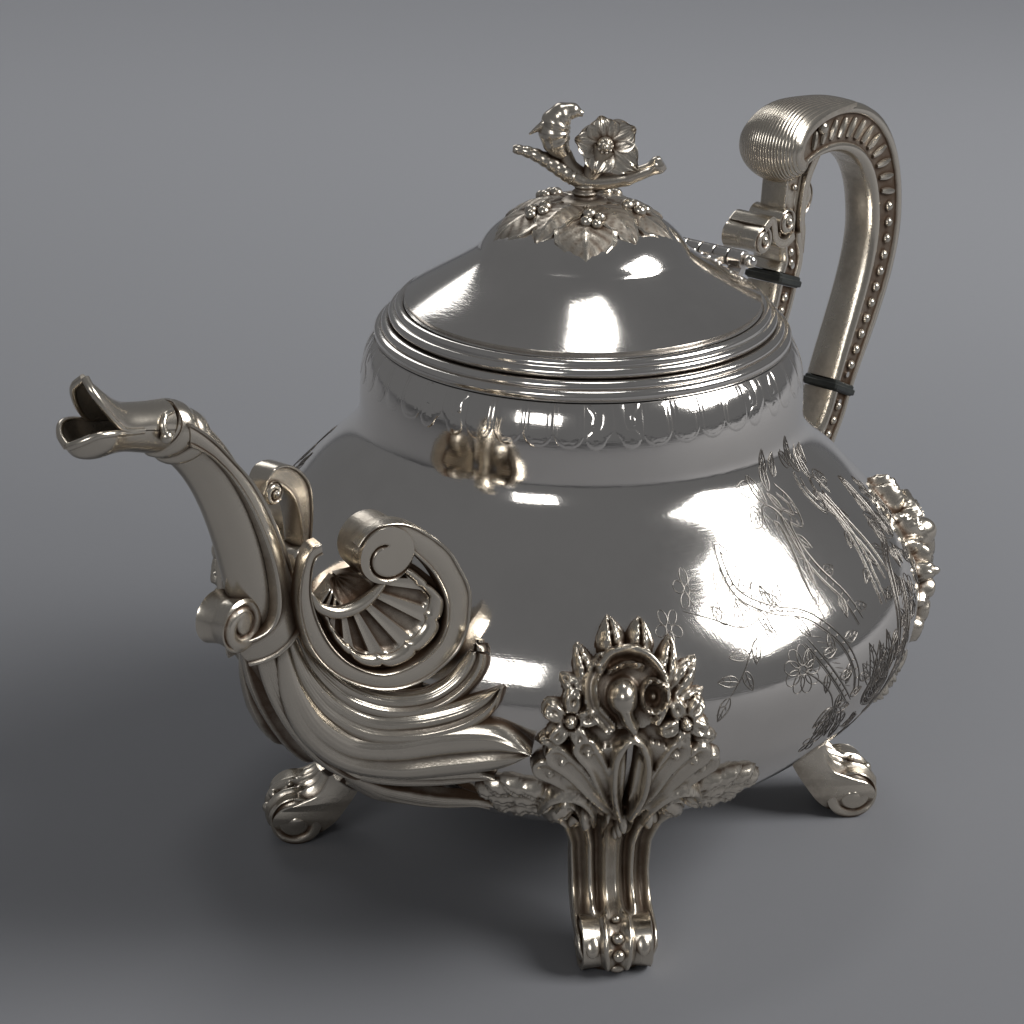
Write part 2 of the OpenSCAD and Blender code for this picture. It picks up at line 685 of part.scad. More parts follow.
// Acanthus wrapped under the root, from the keel up one side and out over the body
module acanthus() {
    rows = 14;
    cols = 22;
    wrap = 8;
    lobes = 5.5;
    span = 118;                       // leaf's turn round the tube, from the keel
    keel_swell = 7;                   // how far the leaf bellies under the root
    grid = function (out) [
        for (i = [0:rows]) [
            for (k = [0:cols]) let (
                v = k / cols,
                a = 270 - (span - 28 * max(0, 1 - i / wrap)) * v,
                ridge = abs(sin(180 * lobes * v)),
                belly = keel_swell * pow(max(0, -sin(a)), 2),
                lift = tube_gap + out * (0.9 + 1.6 * ridge * sin(160 * i / rows))
            ) i <= wrap
                ? tube_point(0.82 - 0.74 * pow(i / wrap, 0.8), a,
                    lift + belly * pow(i / wrap, 2) + 1.5 * pow(i / wrap, 5))
                : let (
                    u = (i - wrap) / (rows - wrap),
                    reach = 1 + belly / tube_half_d(0)
                        + u * (0.92 - 0.06 * belly) * (0.55 + 0.45 * ridge),
                    y = tube_half_w(0) * cos(a) * (1 + 0.2 * sin(a)) * reach,
                    z = root_z + tube_half_d(0) * sin(a) * reach
                ) on_body(y, z, lift + 0.9 * (1 - u))
        ]
    ];
    color(cast_silver) sheet(grid(1), grid(0));
}

module acanthus_left() { acanthus(); }
module acanthus_right() { mirror([0, 1, 0]) acanthus(); }

// ---- handle -------------------------------------------------------------------------------

upper_at = [83.4, 125];               // middles of the insulators in XZ
lower_at = [114.4, 86.6];
upper_tilt = 20.5;                    // lean of the insulators' axes from +Z towards +X
lower_tilt = 25.5;
insulator_w = 10;
function lean(tilt) = [sin(tilt), cos(tilt)];

// Places children at an insulator's middle, its axis along local +Z
module at_insulator(at, tilt) {
    translate([at[0], 0, at[1]]) rotate([0, tilt, 0]) children();
}

// Mortises for a tenon and its pin on the side of the insulator given by way
module mortise(at, tilt, way) {
    side = tenon_s + 0.1;
    face = insulator_t / 2 + seat_gap;
    at_insulator(at, tilt) union() {
        translate([-20, -20, way > 0 ? face - 20 : -face]) cube([40, 40, 20]);
        translate([-side / 2, -side / 2, way > 0 ? 0 : -tenon_l - insulator_t / 2 - 0.1])
            cube([side, side, tenon_l + insulator_t / 2 + 0.1]);
        translate([0, handle_t, way * (insulator_t / 2 + tenon_l / 2)]) rotate([90, 0, 0])
            cylinder(d = rivet_d + 0.02, h = 2 * handle_t, $fn = 24);
    }
}

module insulator(at, tilt) {
    color(ebonite) at_insulator(at, tilt) difference() {
        union() {
            translate([-insulator_w / 2, -handle_t / 2, -insulator_t / 2])
                cube([insulator_w, handle_t, insulator_t]);
            translate([-tenon_s / 2, -tenon_s / 2, -insulator_t / 2 - tenon_l])
                cube([tenon_s, tenon_s, insulator_t + 2 * tenon_l]);
        }
        for (way = [-1, 1])
            translate([0, handle_t, way * (insulator_t / 2 + tenon_l / 2)]) rotate([90, 0, 0])
                cylinder(d = rivet_d + 0.1, h = 2 * handle_t, $fn = 24);
    }
}

module insulator_upper() { insulator(upper_at, upper_tilt); }
module insulator_lower() { insulator(lower_at, lower_tilt); }

module insulator_pins() {
    color(silver) for (spot = [[upper_at, upper_tilt], [lower_at, lower_tilt]], way = [-1, 1])
        at_insulator(spot[0], spot[1])
            translate([0, handle_t / 2 - 0.2, way * (insulator_t / 2 + tenon_l / 2)])
                rotate([90, 0, 0]) cylinder(d = rivet_d, h = handle_t - 0.4, $fn = 24);
}

grip_end = lower_at + (insulator_t / 2 + seat_gap) * lean(lower_tilt);
grip_line = concat(
    curve([[86, 157.5], [96, 164.5], [131, 166], [132.8, 131]], 14),
    curve([[132.8, 131], [133.3, 116], grip_end + 13 * lean(lower_tilt), grip_end], 10, 1)
);
grip_steps = len(grip_line) - 1;
grip_half = [for (i = [0:grip_steps]) let (t = i / grip_steps)
    handle_end_w + (handle_w - handle_end_w) * sin(180 * t) - 0.6 * pow(1 - t, 8)];

module handle_grip() {
    channel = [for (i = [2:grip_steps - 4]) grip_line[i]];
    channel_half = [for (i = [2:grip_steps - 4]) grip_half[i] - 3];
    color(cast_silver) union() {
        difference() {
            union() {
                along_y(-handle_t / 2 + 1, handle_t - 2) ribbon_2d(grip_line, grip_half);
                along_y(-handle_t / 2, handle_t)
                    ribbon_2d(grip_line, [for (h = grip_half) h - 1]);
            }
            for (side = [-1, 1])
                along_y(side > 0 ? handle_t / 2 - channel_d : -handle_t / 2 - 1, channel_d + 1)
                    ribbon_2d(channel, channel_half);
            mortise(lower_at, lower_tilt, 1);
        }
        for (side = [-1, 1], i = [3:2:grip_steps - 5])
            translate([grip_line[i][0], side * (handle_t / 2 - channel_d - 0.5),
                       grip_line[i][1]])
                rotate([-90 * side, 0, 0])
                    cylinder(r1 = 2.4, r2 = 1.2, h = channel_d + 0.5, $fn = 24);
    }
}

// Reeded tongue rolled over the front of the grip, where the thumb rests
module handle_thumb_scroll() {
    rows = 12;
    cols = 20;
    line = concat(
        curve([[85, 155.4], [79, 154.6], [75.4, 160], [80, 164.6]], 5),
        curve([[80, 164.6], [86, 168.9], [96, 168.6], [108, 169]], 7, 1)
    );
    grid = function (t) [for (i = [0:rows]) [for (k = [0:cols]) let (
        v = 2 * k / cols - 1,
        taper = max(0, (i - 4) / (rows - 4)),
        half = 8.6 - 4.2 * taper,
        n = normal_2d(tangent(line, i)),
        reed = t > 0 ? 0.5 * abs(cos(90 * k / 2)) : 0,
        p = line[i] - (t + reed - 1.5 * (1 - taper) * v * v) * n
    ) [p[0], half * v, p[1]]]];
    color(cast_silver) sheet(grid(1.3), grid(0));
}

// Upright between the upper insulator and the grip, with its volutes
module handle_neck() {
    foot = upper_at + (insulator_t / 2 + seat_gap) * lean(upper_tilt);
    across = [cos(upper_tilt), -sin(upper_tilt)] * (insulator_w / 2 + 0.4);
    color(cast_silver) difference() {
        union() {
            along_y(-handle_t / 2, handle_t) polygon([
                foot - across, foot + across, foot + across + [0.8, 6], [88.6, 134.4],
                [84.8, 136.4], [76.9, 135.6], foot - across + [0.2, 4]]);
            along_y(-3.8, 7.6) polygon([
                [78.5, 135], [86.4, 135], [86.2, 144], [88.4, 152.4], [82.2, 152.2],
                [81.8, 144], [78, 141]]);
            along_y(-5.6, 11.2) union() {
                translate([81, 141.6]) circle(r = 3.3, $fn = 32);
                translate([69.6, 139.1]) circle(r = 3.6, $fn = 32);
                ribbon_2d(curve([[70, 142], [74, 144], [76, 137], [80, 136.2]], 6), 1.2);
            }
            along_y(-4.6, 9.2) difference() {
                translate([90.6, 145.6]) circle(r = 5.2, $fn = 40);
                translate([91.6, 145.6]) circle(r = 2.6, $fn = 32);
            }
        }
        mortise(upper_at, upper_tilt, 1);
    }
}

// Ring of a socket's rounded section: middle, half depth, half width, lean of its plane
function socket_ring(at, half_x, half_y, tilt) = [for (k = [0:19]) let (
    a = 360 * k / 20,
    x = half_x * sign(cos(a)) * pow(abs(cos(a)), 0.75),
    y = half_y * sign(sin(a)) * pow(abs(sin(a)), 0.75)
) [at[0] + x * cos(tilt), y, at[1] - x * sin(tilt)]];

// Last ring of a socket, inside the body's skin on the handle's side
function socket_root(z, half_z, half_y) = [for (k = [0:19]) let (
    a = 360 * k / 20,
    p = on_body(-half_y * sin(a), z - half_z * cos(a), -2)
) [-p[0], -p[1], p[2]]];

module handle_socket_upper() {
    face = upper_at - (insulator_t / 2 + seat_gap) * lean(upper_tilt);
    color(cast_silver) difference() {
        loft([
            socket_ring(face, 6, handle_t / 2 + 0.4, upper_tilt),
            socket_ring(face - 7 * lean(upper_tilt), 5.9, handle_t / 2 + 0.4, 26),
            socket_ring([77, 111.2], 5.8, handle_t / 2, 42),
            socket_ring([70, 106.2], 5.6, handle_t / 2 - 0.2, 62),
            socket_root(104, 6, 6)
        ]);
        mortise(upper_at, upper_tilt, -1);
        body_core(2 * seat_gap);
    }
}

module handle_socket_lower() {
    face = lower_at - (insulator_t / 2 + seat_gap) * lean(lower_tilt);
    color(cast_silver) difference() {
        loft([
            socket_ring(face, 5.8, handle_t / 2 + 0.4, lower_tilt),
            socket_ring(face - 8 * lean(lower_tilt), 5.6, handle_t / 2 + 0.3, 30),
            socket_ring([105.2, 71.6], 5.4, handle_t / 2, 44),
            socket_ring([97, 65.2], 5.6, handle_t / 2, 66),
            socket_root(61.5, 8, 8)
        ]);
        mortise(lower_at, lower_tilt, -1);
        body_core(2 * seat_gap);
    }
}

// ---- feet ---------------------------------------------------------------------------------

leg_top = 29.5;
volute_z = volute_r - 0.35;           // lets the volute stand on a narrow flat

module foot(angle) {
    leg = concat(
        curve([[body_r(leg_top) + 1.6, leg_top], [body_r(22) + 5, 22], [60.5, 15],
               [62.5, 9.5]], 6),
        curve([[62.5, 9.5], [63.8, 6], [65.5, 3.5], [foot_r - 1, 2]], 4, 1)
    );
    half = [2.6, 3, 3.1, 2.9, 2.6, 2.4, 2.2, 2, 1.8, 1.6, 1.4];
    color(cast_silver) rotate([0, 0, angle]) difference() {
        union() {
            along_y(-foot_w / 2, foot_w) union() {
                ribbon_2d(leg, half);
                translate([foot_r, volute_z]) circle(r = volute_r, $fn = 48);
                translate([foot_r - 4.2, volute_z + 5.4]) circle(r = 3.6, $fn = 32);
            }
            for (side = [-1, 1]) translate([foot_r, side * foot_w / 2, volute_z])
                rotate([90, 0, 0]) rotate_extrude() union() {
                    translate([3.9, 0]) circle(r = 0.7, $fn = 16);
                    polygon([[0, -1.2], [1.2, -1], [1.6, 0], [1.2, 1], [0, 1.2]]);
                }
        }
        for (side = [-1, 1]) translate([foot_r, side * (foot_w / 2 - 3.4), volute_z])
            rotate([90, 0, 0]) rotate_extrude() translate([volute_r + 0.5, 0])
                circle(r = 1.2, $fn = 24);
        body_core(2 * seat_gap);
        translate([30, -foot_w, -10]) cube([60, 2 * foot_w, 10]);
    }
}

module foot_spout_left() { foot(foot_angles[0]); }
module foot_spout_right() { foot(foot_angles[1]); }
module foot_handle_left() { foot(foot_angles[2]); }
module foot_handle_right() { foot(foot_angles[3]); }

// Pointed leaf from the origin along +X
module leaf_2d(length, width) {
    n = 6;
    polygon(concat(
        [for (i = [0:n]) [length * i / n, width / 2 * sin(180 * pow(i / n, 0.8))]],
        [for (i = [n - 1:-1:1]) [length * i / n, -width / 2 * sin(180 * pow(i / n, 0.8))]]));
}

cartouche_z = 66;
cartouche_leaves = [                  // angle, length, width
    [108, 25, 11], [72, 25, 11], [146, 19, 10], [34, 19, 10], [184, 18.5, 9], [-4, 18.5, 9]
];
palmette = [-130, -112, -90, -68, -50];

// Relief soldered over the top of a foot: leaves, palmette, ring volute and blossoms
module cartouche(angle) {
    rose_r = body_r(cartouche_z) + 2.3;
    color(cast_silver) rotate([0, 0, angle]) union() {
        intersection() {
            body_band(30.2, 93, 2 * seat_gap, 2.4);
            translate([30, 0, cartouche_z]) rotate([90, 0, 90]) linear_extrude(70) union() {
                for (leaf = cartouche_leaves) rotate(leaf[0]) leaf_2d(leaf[1], leaf[2]);
                for (a = palmette)
                    rotate(a) leaf_2d(a == -90 ? 33 : 31 - abs(a + 90) * 0.18, 10);
                circle(r = 7.5, $fn = 32);
            }
        }
        intersection() {
            body_band(32, 90, 2, 4.2);
            translate([30, 0, cartouche_z]) rotate([90, 0, 90]) linear_extrude(70) union() {
                for (leaf = cartouche_leaves) rotate(leaf[0]) leaf_2d(leaf[1] - 4, leaf[2] / 3);
                for (a = palmette)
                    rotate(a) leaf_2d(a == -90 ? 28 : 26 - abs(a + 90) * 0.18, 3.4);
            }
        }
        translate([rose_r, 0, cartouche_z]) rotate([0, 90, 0]) union() {
            cylinder(r = 3.6, h = 4.4, $fn = 32);
            translate([0, 0, 1.8]) rotate_extrude() translate([5.8, 0]) circle(r = 1.7, $fn = 24);
        }
        for (side = [-1, 1])
            rotate([0, 0, side * 8.6]) translate([body_r(58) + 3.4, 0, 58]) rotate([0, 90, 0])
                union() {
                    sphere(r = 2.2, $fn = 24);
                    for (k = [0:4]) rotate([0, 0, 72 * k]) translate([3.1, 0, 0])
                        sphere(r = 1.9, $fn = 24);
                }
    }
}

module cartouche_spout_left() { cartouche(foot_angles[0]); }
module cartouche_spout_right() { cartouche(foot_angles[1]); }
module cartouche_handle_left() { cartouche(foot_angles[2]); }
module cartouche_handle_right() { cartouche(foot_angles[3]); }

// ---- parts --------------------------------------------------------------------------------

body_shell();
mouth_collar();
lid_bezel();
lid_dome();
hinge_leaf();
hinge_bracket();
hinge_pin();
finial_rosette();
finial_stem();
finial_flower();
finial_bud();
finial_stud();
finial_nut();
spout();
spout_collar();
spout_ribbon_left();
spout_ribbon_right();
spout_volute();
spout_ridge_scroll();
c_scroll_left();
c_scroll_right();
scallop_shell_left();
scallop_shell_right();
acanthus_left();
acanthus_right();
handle_grip();
handle_thumb_scroll();
handle_neck();
insulator_upper();
insulator_lower();
handle_socket_upper();
handle_socket_lower();
insulator_pins();
foot_spout_left();
foot_spout_right();
foot_handle_left();
foot_handle_right();
cartouche_spout_left();
cartouche_spout_right();
cartouche_handle_left();
cartouche_handle_right();
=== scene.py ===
"""Looks of the silver teapot: raised and engraved body, cast ornament, hinged lid, insulated handle."""
import json
import math
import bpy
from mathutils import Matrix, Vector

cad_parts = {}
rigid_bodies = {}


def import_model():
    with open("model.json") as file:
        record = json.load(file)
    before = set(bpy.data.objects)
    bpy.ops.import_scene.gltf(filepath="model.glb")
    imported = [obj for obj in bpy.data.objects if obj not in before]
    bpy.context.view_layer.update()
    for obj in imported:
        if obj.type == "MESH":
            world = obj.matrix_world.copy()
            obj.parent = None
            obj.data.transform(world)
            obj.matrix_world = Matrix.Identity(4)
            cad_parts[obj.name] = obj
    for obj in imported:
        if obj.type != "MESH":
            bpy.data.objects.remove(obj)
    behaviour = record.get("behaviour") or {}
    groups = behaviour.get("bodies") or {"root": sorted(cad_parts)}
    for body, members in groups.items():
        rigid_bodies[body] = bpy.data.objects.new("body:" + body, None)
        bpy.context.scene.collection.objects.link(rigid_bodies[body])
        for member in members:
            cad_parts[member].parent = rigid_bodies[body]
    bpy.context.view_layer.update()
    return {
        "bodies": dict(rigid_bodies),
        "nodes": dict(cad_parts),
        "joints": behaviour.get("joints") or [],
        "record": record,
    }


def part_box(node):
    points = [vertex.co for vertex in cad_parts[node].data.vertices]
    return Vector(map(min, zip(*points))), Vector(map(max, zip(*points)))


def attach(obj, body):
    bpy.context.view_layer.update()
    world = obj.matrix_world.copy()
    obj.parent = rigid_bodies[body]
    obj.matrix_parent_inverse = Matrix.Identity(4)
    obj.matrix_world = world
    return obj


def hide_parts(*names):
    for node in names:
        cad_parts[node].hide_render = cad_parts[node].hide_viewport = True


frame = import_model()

from types import SimpleNamespace

import bmesh
import bpy
import numpy as np
from bpy.props import FloatProperty, FloatVectorProperty, IntProperty, PointerProperty
from mathutils import Matrix, Vector

bl_info = {
    "name": "Silver teapot looks",
    "blender": (4, 5, 0),
    "version": (1, 0, 0),
    "location": "3D View > Sidebar > Teapot",
    "description": "Builds the visible surfaces of a silver teapot around its fixed frame",
    "category": "Object",
}

MM = 0.001
FOOT_ANGLES = {"spout_left": 225.0, "spout_right": 135.0, "handle_left": 315.0, "handle_right": 45.0}


# ---- settings ----

def length(name, text, value):
    return FloatProperty(name=name, description=text, default=value * MM, unit="LENGTH", subtype="DISTANCE")


def linear(r, g, b):
    """Colour from its 0-255 screen values."""
    return tuple(v / 12.92 if v <= 0.04045 else ((v + 0.055) / 1.055) ** 2.4
                 for v in (r / 255, g / 255, b / 255)) + (1.0,)


def colour(name, text, r, g, b):
    return FloatVectorProperty(name=name, description=text, default=linear(r, g, b), size=4, min=0.0,
                               max=1.0, subtype="COLOR")


def factor(name, text, value):
    return FloatProperty(name=name, description=text, default=value, min=0.0, soft_max=1.0, subtype="FACTOR")


class BodySettings(bpy.types.PropertyGroup):
    wall: length("Wall", "Thickness of the raised sheet", 1.1)
    segments: IntProperty(name="Segments", description="Steps round the turned pieces", default=256, min=48)


class OrnamentSettings(bpy.types.PropertyGroup):
    grid: length("Relief grid", "Spacing of the relief's grid", 0.42)
    arches: IntProperty(name="Arches", description="Engraved arches between two scroll pairs", default=4,
                        min=1)


class HandleSettings(bpy.types.PropertyGroup):
    thickness: length("Thickness", "Handle from side to side", 10.4)
    pitch: length("Bead pitch", "Distance between the beads in the channels", 4.6)


class FinishSettings(bpy.types.PropertyGroup):
    tarnish: factor("Tarnish", "Brown tarnish in the recesses", 0.62)
    polish: factor("Roughness", "Roughness of the polished sheet", 0.075)
    hairlines: factor("Hairlines", "Depth of the polishing marks", 0.35)
    bright: colour("Polished silver", "Colour of the raised sheet and the fittings", 235, 230, 223)
    warm: colour("Cast silver", "Colour of the cast ornament", 224, 215, 200)
    lines: colour("Engraving", "Colour of the engraved lines", 170, 165, 158)
    brown: colour("Tarnish colour", "Colour of the tarnish in the recesses", 80, 61, 45)
    soot: colour("Dark tarnish", "Colour of the tarnish in the engraved lines", 58, 47, 40)
    slab: colour("Slabs", "Darkest colour of the insulating slabs", 20, 24, 22)
    slab_pale: colour("Worn slabs", "Palest colour of the insulating slabs", 46, 48, 44)


class StageSettings(bpy.types.PropertyGroup):
    # the paper's colour at the back; painted shade darkens it to half towards the front
    paper: colour("Paper", "Colour of the studio paper", 170, 171, 175)
    floor: FloatProperty(name="Floor", description="Side of the paper floor", default=5.0, unit="LENGTH")
    key: FloatProperty(name="Key light", description="Power of the large soft box", default=21.0,
                       unit="POWER")
    fill: FloatProperty(name="Fill light", description="Power of the small soft box", default=2.4,
                        unit="POWER")
    ambient: FloatProperty(name="Room", description="Brightness of the room", default=0.14, min=0.0)


SETTINGS = {
    "teapot_body": BodySettings,
    "teapot_ornament": OrnamentSettings,
    "teapot_handle": HandleSettings,
    "teapot_finish": FinishSettings,
    "teapot_stage": StageSettings,
}


# ---- curves and surfaces, in millimetres ----

def vec(*p):
    return np.array(p, float)


def unit(v):
    v = np.asarray(v, float)
    n = np.linalg.norm(v, axis=-1, keepdims=True)
    return v / np.where(n < 1e-9, 1.0, n)


def bezier(points, t):
    """Points at t on a cubic curve."""
    a, b, c, d = [np.asarray(p, float) for p in points]
    t = np.asarray(t, float)[..., None]
    return (1 - t) ** 3 * a + 3 * t * (1 - t) ** 2 * b + 3 * t * t * (1 - t) * c + t ** 3 * d


def chain(curves, steps):
    """Points along several cubic curves joined end to end."""
    out = []
    for i, c in enumerate(curves):
        p = bezier(c, np.linspace(0, 1, steps + 1))
        out.append(p if i == 0 else p[1:])
    return np.vstack(out)


def through(points, n):
    """Smooth path of n points through a few points (Catmull-Rom, even in length)."""
    p = np.asarray(points, float)
    p = np.vstack([2 * p[0] - p[1], p, 2 * p[-1] - p[-2]])
    out = []
    for i in range(1, len(p) - 2):
        t = np.linspace(0, 1, 13)[:-1, None]
        a, b, c, d = p[i - 1], p[i], p[i + 1], p[i + 2]
        out.append(0.5 * (2 * b + (c - a) * t + (2 * a - 5 * b + 4 * c - d) * t ** 2
                          + (3 * b - a - 3 * c + d) * t ** 3))
    out = np.vstack(out + [p[-2][None]])
    return even(out, n)


def even(path, n):
    """The path at n points evenly spaced along it."""
    path = np.asarray(path, float)
    d = np.r_[0, np.cumsum(np.linalg.norm(np.diff(path, axis=0), axis=1))]
    t = np.linspace(0, d[-1], n)
    return np.stack([np.interp(t, d, path[:, k]) for k in range(path.shape[1])], axis=1)


def ways(path):
    return unit(np.gradient(np.asarray(path, float), axis=0))


def xyz(x, y, z):
    """Points from their three coordinates, each one number or many."""
    return np.stack(np.broadcast_arrays(x, y, z), axis=-1)


def sideways(path):
    """Unit vectors to the right of a 2-D path."""
    w = ways(path)
    return np.stack([w[:, 1], -w[:, 0]], axis=1)


def beside(path, d):
    """A 2-D path moved to its right by d."""
    return path + sideways(path) * np.asarray(d, float).reshape(-1, 1)


def arc(cx, cy, r, a0, a1, n):
    a = np.radians(np.linspace(a0, a1, n))
    return np.stack([cx + r * np.cos(a), cy + r * np.sin(a)], axis=1)


def bump(x, centre, width):
    return np.exp(-((x - centre) / width) ** 2)


def spin(x, y, degrees):
    """x and y turned about the origin of their plane."""
    c, s = math.cos(math.radians(degrees)), math.sin(math.radians(degrees))
    return x * c - y * s, x * s + y * c


def turn_z(p, degrees):
    a = math.radians(degrees)
    c, s = math.cos(a), math.sin(a)
    return np.asarray(p, float) @ np.array([[c, s, 0], [-s, c, 0], [0, 0, 1]])


def outward(mesh):
    """Turns all faces of a closed mesh outwards."""
    bm = bmesh.new()
    bm.from_mesh(mesh)
    bmesh.ops.recalc_face_normals(bm, faces=bm.faces)
    bm.to_mesh(mesh)
    bm.free()


class Piece:
    """Gathers closed surfaces into one mesh, with a tarnish value at each point."""

    def __init__(self):
        self.points, self.faces, self.dark, self.count = [], [], [], 0

    def add(self, points, faces, dark=0.0):
        points = np.asarray(points, float).reshape(-1, 3)
        self.points.append(points)
        self.faces += [tuple(int(i) + self.count for i in f) for f in faces]
        self.dark.append(np.broadcast_to(np.asarray(dark, float).reshape(-1), (len(points),)))
        self.count += len(points)

    def rings(self, rings, dark=0.0, caps=True, closed=False):
        """Surface through rings of equally many points, capped at its ends or closed on itself."""
        rings = np.asarray(rings, float)
        m, n = rings.shape[:2]
        faces = [(i * n + k, i * n + (k + 1) % n, (i + 1) % m * n + (k + 1) % n, (i + 1) % m * n + k)
                 for i in range(m if closed else m - 1) for k in range(n)]
        if caps and not closed:
            faces += [tuple(range(n)), tuple((m - 1) * n + k for k in range(n))]
        self.add(rings, faces, dark)

    def loop(self, rings, dark=0.0):
        self.rings(rings, dark, closed=True)

    def sheet(self, top, bottom, dark=0.0):
        """Sheet between two grids of points, closed along its edges."""
        top = np.asarray(top, float)
        m, n = top.shape[:2]
        b = m * n

        def at(i, k):
            return i * n + k

        faces = []
        for i in range(m - 1):
            for k in range(n - 1):
                q = (at(i, k), at(i, k + 1), at(i + 1, k + 1), at(i + 1, k))
                faces.append(q)
                faces.append(tuple(b + j for j in reversed(q)))
        rim = ([at(0, k) for k in range(n)] + [at(i, n - 1) for i in range(1, m)]
               + [at(m - 1, k) for k in range(n - 2, -1, -1)] + [at(i, 0) for i in range(m - 2, 0, -1)])
        faces += [(rim[j], b + rim[j], b + rim[(j + 1) % len(rim)], rim[(j + 1) % len(rim)])
                  for j in range(len(rim))]
        dark = np.broadcast_to(dark, (m, n)) if np.ndim(dark) else np.full((m, n), float(dark))
        self.add(np.concatenate([top.reshape(-1, 3), np.asarray(bottom, float).reshape(-1, 3)]), faces,
                 np.concatenate([dark.reshape(-1), np.ones(b) * 0.5]))

    def rod(self, path, radius, n=12, dark=0.0, up=(0, 0, 1), squash=1.0):
        """Rod of round section along a path, with a radius at each point."""
        path = np.asarray(path, float)
        w = ways(path)
        side = unit(np.cross(w, np.asarray(up, float)))
        top = np.cross(side, w)
        a = np.linspace(0, 2 * np.pi, n, endpoint=False)
        r = np.broadcast_to(np.asarray(radius, float), (len(path),))[:, None, None]
        ring = (np.cos(a)[None, :, None] * side[:, None] + squash * np.sin(a)[None, :, None] * top[:, None])
        self.rings(path[:, None] + r * ring, dark)

    def ball(self, centre, r, nu=18, nv=11, dark=0.0, axes=None):
        """Ball, or an egg when axes gives three half-length vectors."""
        a = np.linspace(0, 2 * np.pi, nu, endpoint=False)
        b = np.linspace(-np.pi / 2 + 0.05, np.pi / 2 - 0.05, nv)
        b = b[:, None]
        x = xyz(np.cos(b) * np.cos(a), np.cos(b) * np.sin(a), np.sin(b))
        m = np.eye(3) * r if axes is None else np.asarray(axes, float)
        self.rings(np.asarray(centre, float) + x @ m, dark)

    def turned(self, profile, n=64, dark=0.0, origin=(0, 0, 0), frame=None):
        """Closed outline of (radius, height) turned about an axis."""
        a = np.linspace(0, 2 * np.pi, n, endpoint=False)
        p = np.asarray(profile, float)
        rings = np.stack([xyz(p[:, 0] * math.cos(t), p[:, 0] * math.sin(t), p[:, 1]) for t in a])
        if frame is not None:
            rings = rings @ np.asarray(frame, float)
        self.loop(rings + np.asarray(origin, float), np.tile(dark, n) if np.ndim(dark) else dark)

    def prism(self, outline, low, high, frame, origin, bevel, dark=0.0):
        """Outline in XY raised from low to high along Z, with bevelled edges."""
        p = np.asarray(outline, float)
        c = p.mean(axis=0)
        inner = p + unit(c - p) * bevel
        stack = ((inner, low), (p, low + bevel), (p, high - bevel), (inner, high))
        rings = np.stack([xyz(q[:, 0], q[:, 1], z) for q, z in stack])
        self.rings(rings @ np.asarray(frame, float) + np.asarray(origin, float), dark)

    def make(self, name, material, angle=40.0):
        """The mesh object, in metres, with its faces outward and smooth between sharp edges."""
        mesh = bpy.data.meshes.new(name)
        mesh.from_pydata(np.concatenate(self.points) * MM, [], self.faces)
        outward(mesh)
        mesh.attributes.new("dark", "FLOAT", "POINT").data.foreach_set("value", np.concatenate(self.dark))
        mesh.shade_smooth()
        mesh.set_sharp_from_angle(angle=math.radians(angle))
        mesh.materials.append(material)
        obj = bpy.data.objects.new(name, mesh)
        bpy.context.scene.collection.objects.link(obj)
        return obj


def place(obj, body, slot, *nodes):
    """Hands a finished piece to its body and hides the frame's nodes it stands for; its material slot is not
    used.
    """
    bpy.context.view_layer.update()
    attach(obj, body)
    if nodes:
        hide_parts(*nodes)
    return obj


def cast(part, name, node, angle=40, body="pot"):
    """A finished piece of cast silver that stands for one of the frame's nodes."""
    return place(part.make(name, finishes()["cast"], angle), body, "cast_silver", node)


# ---- the pot's own shapes ----

OUTLINE = chain([
    [(19, 11.2), (50, 22), (83.8, 45), (83.8, 68)],
    [(83.8, 68), (83.8, 80), (74, 88.5), (66.5, 96.5)],
    [(66.5, 96.5), (60.5, 102.9), (53.3, 107), (53.3, 114.5)],
    [(53.3, 114.5), (53.3, 120.5), (52.8, 127.2), (49.4, 130.8)],
], 26)
BASE_Z = 11.2


def body_r(z):
    """Radius of the body at a height."""
    return np.interp(z, OUTLINE[:, 1], OUTLINE[:, 0])


def body_slope(z):
    """Radial and upward parts of the outward normal at a height."""
    e = 0.6
    d = (body_r(np.asarray(z) + e) - body_r(np.asarray(z) - e)) / (2 * e)
    n = np.sqrt(1 + d * d)
    return 1 / n, -d / n


def on_body(theta, z, out=0.0):
    """Points on the body at an angle in degrees and a height, out along the normal."""
    theta, z, out = [np.asarray(v, float) for v in (theta, z, out)]
    nr, nz = body_slope(z)
    r = body_r(z) + out * nr
    a = np.radians(theta)
    return xyz(r * np.cos(a), r * np.sin(a), z + out * nz)


THROAT = [(-80, 68), (-90, 68), (-107, 78), (-113, 97)]
NECK = [(-113, 97), (-117.5, 112), (-121, 138.2), (-141, 148.2)]


def spine(s):
    """Middle of the spout's tube in XZ: 0 at the body, 1 at the throat, 2 at the beak."""
    s = np.clip(np.asarray(s, float), 0, 2)
    return np.where((s < 1)[..., None], bezier(THROAT, np.clip(s, 0, 1)), bezier(NECK, np.clip(s - 1, 0, 1)))


def spout_point(s, a, out=0.0, root=0.0):
    """Points out from the tube: angle 0 right, 90 on the ridge, 180 left, 270 on the keel.
    root swells the keel side towards the body, as the leaf that covers it does."""
    s, a, out = np.broadcast_arrays(*[np.asarray(v, float) for v in (s, a, out)])
    e = 0.01
    way = unit(spine(s + e) - spine(s - e))
    a = np.radians(a)
    near = np.clip(1 - s, 0, 1)
    far = np.clip(s - 1, 0, 1)
    half_w = 5.6 * (1 + 2.5 * near ** 2.2 - 0.12 * far)
    low = np.clip(-np.sin(a), 0, 1)
    half_d = 6.0 * (1 + 1.7 * near ** 2.4 - 0.12 * far + root * low * 1.5 * near ** 2.4)
    up = (half_d + out) * np.sin(a)
    p = spine(s)
    return xyz(p[..., 0] + up * way[..., 1], (half_w + out) * np.cos(a) * (1 + 0.2 * np.sin(a)),
               p[..., 1] - up * way[..., 0])


